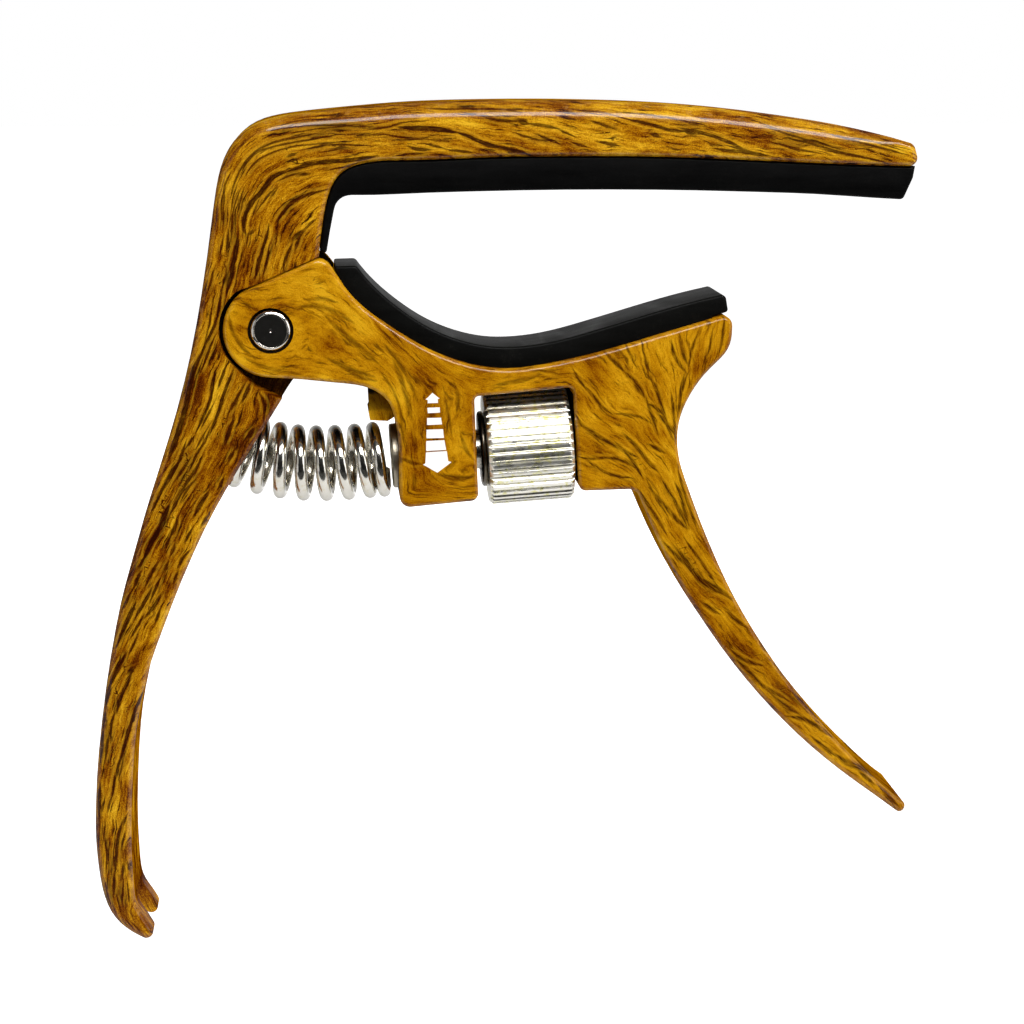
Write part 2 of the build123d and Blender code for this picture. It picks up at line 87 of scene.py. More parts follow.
# ================================================================== node helper
class Mat:
    def __init__(self, name):
        self.m = bpy.data.materials.new(name)
        self.m.use_nodes = True
        self.t = self.m.node_tree
        self.b = self.t.nodes["Principled BSDF"]

    def put(self, sock, v):
        if isinstance(v, bpy.types.NodeSocket):
            self.t.links.new(v, sock)
        else:
            sock.default_value = v

    def new(self, kind, **props):
        n = self.t.nodes.new(kind)
        for k, v in props.items():
            setattr(n, k, v)
        return n

    def math(self, op, a, b=0.0, clamp=False):
        n = self.new("ShaderNodeMath", operation=op, use_clamp=clamp)
        self.put(n.inputs[0], a)
        self.put(n.inputs[1], b)
        return n.outputs[0]

    def mul(self, a, b):
        return self.math("MULTIPLY", a, b)

    def add(self, a, b):
        return self.math("ADD", a, b)

    def sub(self, a, b):
        return self.math("SUBTRACT", a, b)

    def top(self, a, b):
        return self.math("MAXIMUM", a, b)

    def step(self, x, a, b, lo=0.0, hi=1.0):
        n = self.new("ShaderNodeMapRange", interpolation_type="SMOOTHSTEP", clamp=True)
        self.put(n.inputs["Value"], x)
        self.put(n.inputs["From Min"], a)
        self.put(n.inputs["From Max"], b)
        self.put(n.inputs["To Min"], lo)
        self.put(n.inputs["To Max"], hi)
        return n.outputs[0]

    def mix(self, f, a, b, blend="MIX"):
        n = self.new("ShaderNodeMix", data_type="RGBA", blend_type=blend)
        self.put(n.inputs[0], f)
        self.put(n.inputs[6], a)
        self.put(n.inputs[7], b)
        return n.outputs[2]

    def ramp(self, f, stops):
        n = self.new("ShaderNodeValToRGB")
        e = n.color_ramp.elements
        while len(e) < len(stops):
            e.new(0.5)
        for el, (p, c) in zip(e, stops):
            el.position = p
            el.color = c
        self.put(n.inputs[0], f)
        return n.outputs[0]

    def vec(self, x, y, z):
        n = self.new("ShaderNodeCombineXYZ")
        for s, v in zip(n.inputs, (x, y, z)):
            self.put(s, v)
        return n.outputs[0]

    def xyz(self, v):
        n = self.new("ShaderNodeSeparateXYZ")
        self.put(n.inputs[0], v)
        return n.outputs

    def noise(self, v, scale=1.0, detail=2.0, rough=0.5, dist=0.0):
        n = self.new("ShaderNodeTexNoise")
        self.put(n.inputs["Vector"], v)
        self.put(n.inputs["Scale"], scale)
        self.put(n.inputs["Detail"], detail)
        self.put(n.inputs["Roughness"], rough)
        self.put(n.inputs["Distortion"], dist)
        return n.outputs[0]

    def voronoi(self, v, scale, feature="F1", out="Distance"):
        n = self.new("ShaderNodeTexVoronoi", feature=feature)
        self.put(n.inputs["Vector"], v)
        self.put(n.inputs["Scale"], scale)
        return n.outputs[out]

    def attr(self, name):
        return self.new("ShaderNodeAttribute", attribute_name=name).outputs["Vector"]

    def pos(self):
        """Object coordinates in millimetres."""
        n = self.new("ShaderNodeVectorMath", operation="SCALE")
        self.t.links.new(self.new("ShaderNodeTexCoord").outputs["Object"], n.inputs[0])
        n.inputs["Scale"].default_value = 1000.0
        return n.outputs[0]

    def normal(self):
        return self.new("ShaderNodeNewGeometry").outputs["Normal"]

    def bump(self, h, strength, dist_mm):
        n = self.new("ShaderNodeBump")
        self.put(n.inputs["Height"], h)
        n.inputs["Strength"].default_value = strength
        n.inputs["Distance"].default_value = dist_mm * MM
        return n.outputs[0]

    def done(self, **ins):
        for k, v in ins.items():
            self.put(self.b.inputs[k.replace("_", " ")], v)
        return self.m


# ================================================================== mesh helpers
def read_tris(o):
    me = o.data
    me.calc_loop_triangles()
    n = len(me.loop_triangles)
    lt = np.zeros(n * 3, np.int32)
    vt = np.zeros(n * 3, np.int32)
    me.loop_triangles.foreach_get("loops", lt)
    me.loop_triangles.foreach_get("vertices", vt)
    co = np.zeros(len(me.vertices) * 3)
    me.vertices.foreach_get("co", co)
    nr = np.zeros(len(me.loops) * 3)
    me.corner_normals.foreach_get("vector", nr)
    return co.reshape(-1, 3)[vt].reshape(n, 3, 3) / MM, nr.reshape(-1, 3)[lt].reshape(n, 3, 3)


def split_axis(p, q, ax, h):
    """Cut triangles (corners p, normals q) at every multiple of h along one axis."""
    out_p, out_q = [], []
    eps = 1e-5
    while len(p):
        lo, hi = p[:, :, ax].min(1), p[:, :, ax].max(1)
        k0, k1 = np.ceil((lo + eps) / h), np.floor((hi - eps) / h)
        cut = k1 >= k0
        out_p.append(p[~cut])
        out_q.append(q[~cut])
        p, q = p[cut], q[cut]
        if not len(p):
            break
        c = np.clip(np.round((lo + hi)[cut] / 2 / h), k0[cut], k1[cut]) * h
        d = p[:, :, ax] - c[:, None]
        s = np.where(np.abs(d) < eps, 0, np.sign(d))
        zero = (s == 0).any(1)
        first = np.zeros(len(p), int)
        first[zero] = np.argmax(s[zero] == 0, 1)
        tot = s[~zero].sum(1)
        first[~zero] = np.argmax(s[~zero] == -np.sign(tot)[:, None], 1)
        idx = (first[:, None] + np.arange(3)) % 3
        r = np.arange(len(p))[:, None]
        p, q, d = p[r, idx], q[r, idx], d[r, idx]

        def meet(i, j, m):
            # order the ends the same way from both sides of an edge
            a, b, da, db = p[m, i], p[m, j], d[m, i], d[m, j]
            na, nb = q[m, i], q[m, j]
            sw = da > db
            a2, b2 = np.where(sw[:, None], b, a), np.where(sw[:, None], a, b)
            na2, nb2 = np.where(sw[:, None], nb, na), np.where(sw[:, None], na, nb)
            da2, db2 = np.where(sw, db, da), np.where(sw, da, db)
            t = (-da2 / (db2 - da2))[:, None]
            x = a2 + (b2 - a2) * t
            x[:, ax] = c[m]
            y = na2 + (nb2 - na2) * t
            y /= np.linalg.norm(y, axis=1, keepdims=True) + 1e-12
            return x, y

        z, f = zero, ~zero
        np_, nq_ = [], []
        if z.any():
            x, y = meet(1, 2, z)
            np_ += [np.stack([p[z, 0], p[z, 1], x], 1), np.stack([p[z, 0], x, p[z, 2]], 1)]
            nq_ += [np.stack([q[z, 0], q[z, 1], y], 1), np.stack([q[z, 0], y, q[z, 2]], 1)]
        if f.any():
            x1, y1 = meet(0, 1, f)
            x2, y2 = meet(0, 2, f)
            np_ += [np.stack([p[f, 0], x1, x2], 1), np.stack([x1, p[f, 1], p[f, 2]], 1), np.stack([x1, p[f, 2], x2], 1)]
            nq_ += [np.stack([q[f, 0], y1, y2], 1), np.stack([y1, q[f, 1], q[f, 2]], 1), np.stack([y1, q[f, 2], y2], 1)]
        p, q = np.concatenate(np_), np.concatenate(nq_)
    return np.concatenate(out_p), np.concatenate(out_q)


def dense_copy(node, name, h, edit=None):
    """Closed copy of a CAD node with its faces cut on an h-millimetre grid, keeping its shading normals.
    edit: function of (points, normals), in pivot millimetres, that reshapes the copy."""
    p, q = read_tris(NODES[node])
    for ax in (0, 2):
        p, q = split_axis(p, q, ax, h)
    if edit:
        off = np.array([PX, 0.0, PZ])
        pp, qq = edit(np.round(p.reshape(-1, 3), 6) - off, q.reshape(-1, 3))
        p, q = (pp + off).reshape(-1, 3, 3), qq.reshape(-1, 3, 3)
    key = np.round(p.reshape(-1, 3) * 1e4).astype(np.int64)
    _, first, inv = np.unique(key, axis=0, return_index=True, return_inverse=True)
    tri = inv.reshape(-1, 3)
    ok = (tri[:, 0] != tri[:, 1]) & (tri[:, 1] != tri[:, 2]) & (tri[:, 2] != tri[:, 0])
    tri, q = tri[ok], q[ok]
    co = p.reshape(-1, 3)[first]
    me = bpy.data.meshes.new(name)
    me.vertices.add(len(co))
    me.vertices.foreach_set("co", (co * MM).astype(np.float32).ravel())
    me.loops.add(tri.size)
    me.loops.foreach_set("vertex_index", tri.astype(np.int32).ravel())
    me.polygons.add(len(tri))
    me.polygons.foreach_set("loop_start", np.arange(0, tri.size, 3, dtype=np.int32))
    me.polygons.foreach_set("loop_total", np.full(len(tri), 3, np.int32))
    me.update(calc_edges=True)
    me.validate()
    me.polygons.foreach_set("use_smooth", np.ones(len(me.polygons), bool))
    if len(me.loops) == tri.size:
        me.normals_split_custom_set(q.reshape(-1, 3).tolist())
    o = bpy.data.objects.new(name, me)
    scene.collection.objects.link(o)
    return o


def from_grid(name, verts, faces, smooth=True, angle=None):
    """Mesh object from row-frame metres. angle: edges sharper than this many degrees stay sharp."""
    me = bpy.data.meshes.new(name)
    me.from_pydata([tuple(v) for v in verts], [], faces)
    me.validate()
    bm = bmesh.new()
    bm.from_mesh(me)
    bmesh.ops.recalc_face_normals(bm, faces=bm.faces)
    for f in bm.faces:
        f.smooth = smooth
    if angle is not None:
        for e in bm.edges:
            e.smooth = not (len(e.link_faces) == 2 and e.calc_face_angle(0) > math.radians(angle))
    bm.to_mesh(me)
    bm.free()
    o = bpy.data.objects.new(name, me)
    scene.collection.objects.link(o)
    return o


def lathe(name, profile, c, axis, seg=96, angle=35):
    """Closed ring body: profile of (along, radius) pairs, turned about the axis through c (pivot mm)."""
    a = np.array(axis, float)
    a /= np.linalg.norm(a)
    e1 = np.array([0.0, 1.0, 0.0]) if abs(a[1]) < 0.9 else np.array([1.0, 0.0, 0.0])
    e1 -= a * (a @ e1)
    e1 /= np.linalg.norm(e1)
    e2 = np.cross(a, e1)
    closed_ring = profile[0][1] > 1e-6
    v, faces, start = [], [], []
    for s, r in profile:
        start.append(len(v))
        if r < 1e-6:
            v.append(np.array(c) + a * s)
        else:
            for k in range(seg):
                t = 2 * math.pi * k / seg
                v.append(np.array(c) + a * s + (e1 * math.cos(t) + e2 * math.sin(t)) * r)
    n = len(profile)
    for i in range(n if closed_ring else n - 1):
        j = (i + 1) % n
        pi, pj = profile[i][1] < 1e-6, profile[j][1] < 1e-6
        for k in range(seg):
            l = (k + 1) % seg
            if pi and not pj:
                faces.append((start[i], start[j] + l, start[j] + k))
            elif pj and not pi:
                faces.append((start[i] + k, start[i] + l, start[j]))
            elif not pi and not pj:
                faces.append((start[i] + k, start[i] + l, start[j] + l, start[j] + k))
    return from_grid(name, rows(v), faces, True, angle)


def paint(o, m):
    o.data.materials.clear()
    o.data.materials.append(m)
    return o


# ================================================================== wood-print film: flow and streaks
# Each streak: (width mm, darkness, points). They also steer the flow of the fine grain around them.
ARM_STREAKS = [
    (0.4, 1, ((-2, 11.2), (-1.7, 11.9), (-1.3, 12.6), (-0.6, 13.1), (-0.2, 13.8), (0.2, 14.4), (0.8, 14.8), (1.8, 15.1))),
    (0.34, 1, ((1.8, 15.1), (3.1, 15.5), (3.9, 15.8), (5.6, 16), (7.4, 16.1), (9.1, 16.3), (10.2, 16.5))),
    (0.16, 0.8, ((-1.1, 11.4), (-0.4, 12.4), (0.2, 13.1), (0.7, 13.5))),
    (0.2, 0.8, ((1.5, 11.4), (2.2, 12.2), (3, 12.6), (4.3, 13.1), (5.6, 13.4))),
    (0.16, 0.7, ((0.9, 14.2), (2.2, 14.8), (3.1, 15))),
    (0.26, 0.9, ((2.9, 14.8), (3.9, 14.9))),
    (0.14, 0.7, ((5.6, 15.2), (7.6, 15.6), (8.6, 15.9))),
    (0.16, 0.8, ((-3.5, 12.7), (-3.1, 14.2), (-2.5, 15.4), (-1.7, 16.5), (-0.7, 17.3), (0.8, 17.9), (2.3, 18.2), (4.4, 18.6))),
    (0.16, 0.8, ((-2.5, 14.9), (-1.8, 16.2), (-0.9, 17), (0.8, 17.5), (2.9, 17.9), (4.8, 18.2), (6.5, 18.5))),
    (0.14, 0.7, ((-2, 14.9), (-1, 16.2), (0.7, 17), (2.7, 17.5), (4.8, 17.7), (7.4, 17.9))),
    (0.26, 0.9, ((1.9, 16.5), (2.7, 16.8))),
    (0.16, 0.9, ((3.6, 17.2), (5.7, 17.6), (7.4, 17.6), (9.5, 17.5))),
    (0.12, 0.7, ((5.7, 17), (6.7, 17.2))),
    (0.14, 0.7, ((-4.3, 12.3), (-4.1, 13.8), (-3.5, 15))),
    (0.14, 0.8, ((-3.5, 11.3), (-3.3, 12.7), (-2.9, 13.8))),
    (0.16, 0.8, ((-2.9, 11.2), (-2.6, 12.5), (-2.3, 13.4))),
    (0.12, 0.8, ((0.1, 18.9), (1.9, 19.2), (4, 19.4), (7.4, 19.4), (8.7, 19.5))),
    (0.12, 0.7, ((2.3, 18.7), (4.8, 19.1), (7.6, 19.3), (10, 19.3))),
    (0.4, 1, ((12.5, 19.2), (13.8, 19.1), (15.3, 19.1), (16.8, 18.9), (17.9, 18.7))),
    (0.3, 1, ((17.9, 18.7), (19.2, 18.3), (20.1, 17.8), (21.4, 17.4), (23.1, 17.1), (24.8, 16.6))),
    (0.28, 0.9, ((13.3, 17.4), (14.3, 17.1), (15.4, 17.1))),
    (0.2, 0.8, ((14.8, 17.7), (16.8, 17.2))),
    (0.2, 0.8, ((17, 17.1), (19.4, 16.8))),
    (0.16, 0.8, ((12, 16.5), (13.6, 16.7), (15.1, 16.8))),
    (0.24, 0.8, ((20.6, 20.1), (22.2, 19.8), (23.7, 19.7))),
    (0.42, 0.9, ((23.7, 19.8), (24.7, 19.5))),
    (0.26, 0.8, ((24.7, 19.5), (25.9, 19.4), (27.7, 19))),
    (0.14, 0.7, ((21.6, 20.3), (23.4, 20.2))),
    (0.16, 0.8, ((23.3, 18.7), (24.8, 18.2), (26.5, 17.8))),
    (0.2, 0.8, ((25.5, 18.5), (27.7, 17.6))),
    (0.12, 0.7, ((15.1, 20.9), (17.9, 20.9), (20.7, 20.9), (24.2, 20.8))),
    (0.14, 0.7, ((9.5, 19), (11.3, 19.2), (13, 19.7), (15.1, 19.8))),
    (0.12, 0.6, ((8.7, 18.4), (10.8, 18.6), (13, 18.2), (15.1, 18.1), (17.3, 17.8))),
    (0.26, 0.8, ((30.8, 19.7), (32.1, 19.3), (33, 19))),
    (0.28, 0.9, ((31.4, 17.8), (32.4, 17.6), (33.4, 17.4))),
    (0.2, 0.8, ((29, 17.7), (30.4, 17.3))),
    (0.16, 0.8, ((27.7, 18.9), (29.1, 18.3))),
    (0.26, 0.9, ((34.3, 19.9), (36.4, 19.4), (38.6, 18.8), (39.9, 18.7))),
    (0.46, 1, ((39.6, 18.8), (40.8, 18.6))),
    (0.28, 0.9, ((40.8, 18.6), (41.8, 18.5), (43, 18.1), (44.3, 17.6), (45.3, 17.1))),
    (0.2, 0.8, ((39.1, 19.1), (40.8, 18.8), (42.2, 18.4), (43.5, 17.9))),
    (0.26, 0.8, ((36.4, 18.5), (37.4, 18.2))),
    (0.22, 0.7, ((38.4, 17.1), (39.2, 17))),
    (0.28, 0.9, ((42.6, 17.1), (43.9, 16.9), (45.3, 16.8), (46.8, 16.6), (47.9, 16.4))),
    (0.18, 0.8, ((43.7, 17.4), (45, 17.1), (46.6, 16.7))),
    (0.16, 0.8, ((47.4, 19.2), (49.8, 18.4), (52.3, 17.7), (54.8, 17))),
    (0.16, 0.8, ((48.1, 17.7), (50.7, 17), (53, 16.6))),
    (0.18, 0.8, ((49.6, 18.1), (51.8, 17.6), (54.1, 16.9), (56.3, 16.4), (59, 15.8))),
    (0.16, 0.8, ((53.6, 18.5), (56.2, 17.8), (58.9, 17.1), (61.2, 16.5))),
    (0.14, 0.7, ((56.2, 18.1), (58.5, 17.6), (60.8, 16.9))),
    (0.14, 0.7, ((53.2, 17), (55.2, 16.5), (57.4, 16.1))),
    (0.12, 0.7, ((46.3, 19.8), (48.5, 19), (50.7, 18.5))),
    (0.14, 0.7, ((33.2, 20.6), (36.4, 20.3), (39, 19.9), (41.7, 19.3))),
    (0.12, 0.6, ((29, 20.8), (32.1, 20.5), (34.2, 19.9))),
    (0.34, 1, ((-2.2, 9.3), (-2.4, 10), (-2.3, 10.6), (-2.1, 11.3), (-1.6, 12.2), (-1.2, 12.7), (-0.7, 13.2))),
    (0.44, 1, ((-2, 11.5), (-1.7, 12.1), (-1.4, 12.5))),
    (0.4, 0.9, ((-1.8, 9.3), (-1.5, 9.5))),
    (0.2, 0.8, ((0.2, 12.6), (0.5, 13), (0.8, 13.4))),
    (0.26, 0.9, ((0.9, 10.6), (1.3, 11.1), (1.7, 11.7), (2.1, 12.1), (2.7, 12.5), (3.7, 13), (5, 13.2))),
    (0.2, 0.8, ((3.3, 9.6), (3.6, 9.9), (4, 10.3), (4.5, 10.6))),
    (0.5, 0.9, ((2.3, 8.7), (2.6, 9), (3.3, 9.5))),
    (0.26, 0.9, ((1.3, 5.8), (1.3, 6.3), (1.6, 6.8), (1.7, 7.4), (2, 7.8), (2.2, 8.3))),
    (0.24, 0.9, ((2.5, 7.8), (2.6, 8.3), (3, 9))),
    (0.26, 1, ((-1.4, 5.1), (-1.1, 5.8), (-1, 6.5), (-0.7, 7.3), (-0.5, 8.2), (-0.2, 8.9), (-0, 9.5), (0, 10))),
    (0.18, 0.9, ((-0.6, 5.4), (-0.4, 6.1), (-0.2, 6.8), (-0.1, 7.5), (-0, 8.1))),
    (0.34, 1, ((-4.1, 3.6), (-3.8, 4.7), (-3.5, 5.5), (-3.5, 6.3), (-3.3, 7), (-3.1, 7.7), (-2.9, 8.5), (-2.9, 8.9))),
    (0.2, 0.8, ((-4.4, 4.4), (-4.1, 5.3), (-4, 5.6))),
    (0.18, 0.8, ((-4.6, 7.5), (-4.4, 8.2), (-4.3, 8.9))),
    (0.22, 0.9, ((-4, 7.5), (-3.9, 8.3), (-3.8, 9.5))),
    (0.14, 0.7, ((-3.5, 8.5), (-3.5, 9.5), (-3.4, 10.5), (-3.3, 11.5), (-2.9, 12.7), (-2.6, 13.4))),
    (0.14, 0.7, ((-4.3, 9.9), (-4.3, 10.7), (-4.2, 12.2), (-4, 13.4))),
    (0.14, 0.7, ((-5, 5.2), (-4.8, 5.6))),
    (0.16, 0.7, ((-5.8, 4), (-5.5, 4.9), (-5.2, 5.9))),
    (0.14, 0.7, ((0.6, 8), (0.7, 8.7), (0.8, 9.1))),
    (0.14, 0.7, ((-2.1, 8.2), (-2, 8.9), (-1.8, 9.5))),
    (0.44, 1, ((-9.9, -12), (-9.2, -10.2), (-8.6, -8.5), (-8.2, -7.1), (-7.8, -5.2), (-7.4, -3.7), (-6.9, -2.5))),
    (0.2, 1, ((-7.4, -4.1), (-6.7, -2.3), (-6, -0.8), (-5.4, 0.3), (-4.9, 1.9), (-4.6, 3.6))),
    (0.18, 0.9, ((-6.6, -3.6), (-5.8, -1.6), (-5.3, -0.4))),
    (0.14, 0.7, ((-6.5, -1.8), (-5.9, 0.2), (-5.6, 1.9), (-5.3, 3.2))),
    (0.24, 1, ((-7.3, -9.7), (-6.7, -8.5), (-6.3, -7.6), (-5.9, -6.8), (-5.6, -5.2), (-5.3, -3.7))),
    (0.18, 0.9, ((-6.8, -9.3), (-5.9, -7.6), (-5.5, -6.8))),
    (0.26, 1, ((-6, -9.9), (-5.5, -8.7), (-5, -7.4), (-4.7, -6.4), (-4.2, -5.1), (-3.6, -3.7))),
    (0.22, 0.9, ((-8.3, -11.2), (-7.5, -10.1))),
    (0.2, 0.9, ((-8, -13.4), (-7.2, -11.6), (-6.5, -10.7), (-6, -9.5))),
    (0.16, 0.8, ((-7.4, -11.4), (-6.2, -9.3))),
    (0.26, 0.9, ((-5.1, -5.4), (-4.6, -4.1), (-4.3, -3.3))),
    (0.22, 0.8, ((-4.2, -8), (-3.2, -6.2), (-2.6, -5.1))),
    (0.34, 0.9, ((-4.5, -10.7), (-4.1, -9.5), (-3.7, -8.6))),
    (0.3, 0.9, ((-2.4, -10.3), (-1.8, -9.4))),
    (0.3, 0.9, ((-2.9, -6.8), (-2.3, -5.7), (-2.1, -5.1))),
    (0.26, 0.8, ((-0.8, -8), (-0.6, -7), (-1.1, -6.1))),
    (0.22, 0.9, ((-4.3, -12.6), (-3.7, -11.5))),
    (0.28, 1, ((-11.8, -17.4), (-11.1, -16.1), (-10.4, -14.7), (-9.7, -13.4), (-8.9, -12.4))),
    (0.2, 0.9, ((-10.3, -14.9), (-9.3, -13.2), (-8.7, -11.8), (-8.3, -10.6))),
    (0.22, 0.9, ((-9.3, -14.3), (-8.5, -13), (-7.9, -12.2))),
    (0.26, 0.9, ((-10, -17.7), (-9.2, -16.1), (-8.4, -14.7), (-7.6, -13.6), (-6.8, -12.2))),
    (0.2, 0.9, ((-9, -16.5), (-8.2, -15.1), (-7.6, -14.4))),
    (0.34, 1, ((-11, -18.6), (-10.4, -17.5), (-10, -16.7))),
    (0.36, 1, ((-12.7, -22.2), (-12, -20.6), (-11.2, -19.4), (-10.6, -18.2))),
    (0.3, 0.9, ((-10.1, -20), (-9.5, -18.9), (-9.3, -18.1))),
    (0.22, 0.9, ((-10.5, -21), (-10.1, -19.8))),
    (0.22, 0.9, ((-10.1, -21.8), (-9.6, -20.6))),
    (0.34, 1, ((-7.7, -17.9), (-6.9, -16.5), (-6.3, -15.6))),
    (0.28, 0.9, ((-5.3, -15.2), (-4.8, -14.2))),
    (0.26, 0.9, ((-7, -18.9), (-6.4, -17.9))),
    (0.24, 0.9, ((-8.7, -20.5), (-7.9, -19.1))),
    (0.2, 0.9, ((-13.2, -23), (-12.6, -21.8))),
    (0.24, 0.9, ((-13.7, -24.9), (-13, -23.4))),
    (0.24, 0.9, ((-12.6, -24.8), (-11.9, -23.4), (-11.3, -22.4))),
    (0.22, 0.9, ((-12.2, -26.4), (-11.6, -25), (-11.1, -24))),
    (0.26, 0.9, ((-9.4, -23), (-8.9, -22), (-8.2, -21.3))),
    (0.22, 0.9, ((-9.8, -24.4), (-9.4, -23.4))),
    (0.2, 0.8, ((-10.7, -23.4), (-10.3, -22.4))),
    (0.18, 0.8, ((-14.7, -26.9), (-14.1, -25.5))),
    (0.2, 0.9, ((-13.4, -27.5), (-12.3, -25.8), (-11.9, -24.8))),
    (0.3, 0.9, ((-13.7, -28), (-12.9, -26.7), (-12.2, -25.4))),
    (0.3, 0.9, ((-12.6, -27.8), (-11.7, -26.7), (-11.1, -25.6))),
    (0.26, 0.9, ((-11.7, -28.4), (-11.2, -27.1))),
    (0.24, 1, ((-15.6, -30.9), (-14.8, -29.2), (-14.1, -27.7), (-13.5, -26.2))),
    (0.2, 0.9, ((-15.3, -30.1), (-14.6, -28.4), (-14, -26.9))),
    (0.2, 0.9, ((-14.1, -29.9), (-13.5, -28.8), (-12.9, -27.8))),
    (0.3, 1, ((-16.5, -35.1), (-15.8, -33.6), (-15.1, -32.3), (-14.7, -31.6))),
    (0.46, 1, ((-14.4, -33.5), (-14, -33))),
    (0.3, 1, ((-15.7, -37.3), (-15.2, -35.6), (-14.5, -34.3), (-14.2, -33.6))),
    (0.22, 0.9, ((-14.3, -31.4), (-13.6, -30.1))),
    (0.24, 1, ((-16.4, -40.2), (-16.3, -38.6), (-15.9, -37.3))),
    (0.28, 1, ((-14.5, -38.7), (-13.8, -36.9), (-13.1, -35.4))),
    (0.2, 1, ((-16.5, -46.2), (-16.2, -44.6), (-15.9, -43.3), (-15.2, -41.3), (-14.5, -39.1), (-14, -37.6))),
    (0.16, 0.8, ((-15.7, -44), (-15.2, -42.2))),
    (0.3, 1, ((-16.8, -36.9), (-16.6, -35.8), (-16.2, -34.5))),
    (0.18, 0.9, ((-17, -38.6), (-16.8, -37.3))),
    (0.24, 0.9, ((-17, -42.2), (-16.8, -40.8), (-16.5, -39.5))),
    (0.18, 0.9, ((-16.9, -47.5), (-16.6, -46.2))),
    (0.2, 0.9, ((-17.5, -47.5), (-17.2, -46.2))),
    (0.22, 0.9, ((-15.4, -48.9), (-15.1, -48))),
    (0.22, 0.9, ((-15.7, -51.2), (-15.3, -49.8))),
    (0.26, 0.9, ((-16.4, -53.9), (-16.2, -51.6), (-15.9, -49.8), (-15.5, -48.5))),
    (0.24, 0.9, ((-15.7, -54.3), (-15.5, -52.8))),
    (0.18, 0.8, ((-17.3, -53.8), (-17.1, -52), (-17.3, -50.5))),
    (0.18, 0.8, ((-17.4, -50.4), (-17.2, -48.7))),
    (0.2, 0.9, ((-16.6, -56.1), (-16.5, -54.1))),
    (0.14, 0.7, ((-15.8, -57.1), (-15.6, -54.8))),
    (0.16, 0.8, ((-17.5, -54.5), (-17.3, -55.9), (-16.9, -57.3))),
    (0.14, 0.8, ((-15.1, -57.1), (-15.2, -54.8))),
    (0.3, 1, ((-17.6, -44.8), (-17.7, -46.2), (-17.8, -48))),
    (0.26, 1, ((-17.5, -42.6), (-17.3, -41.3), (-17.1, -39.1))),
]

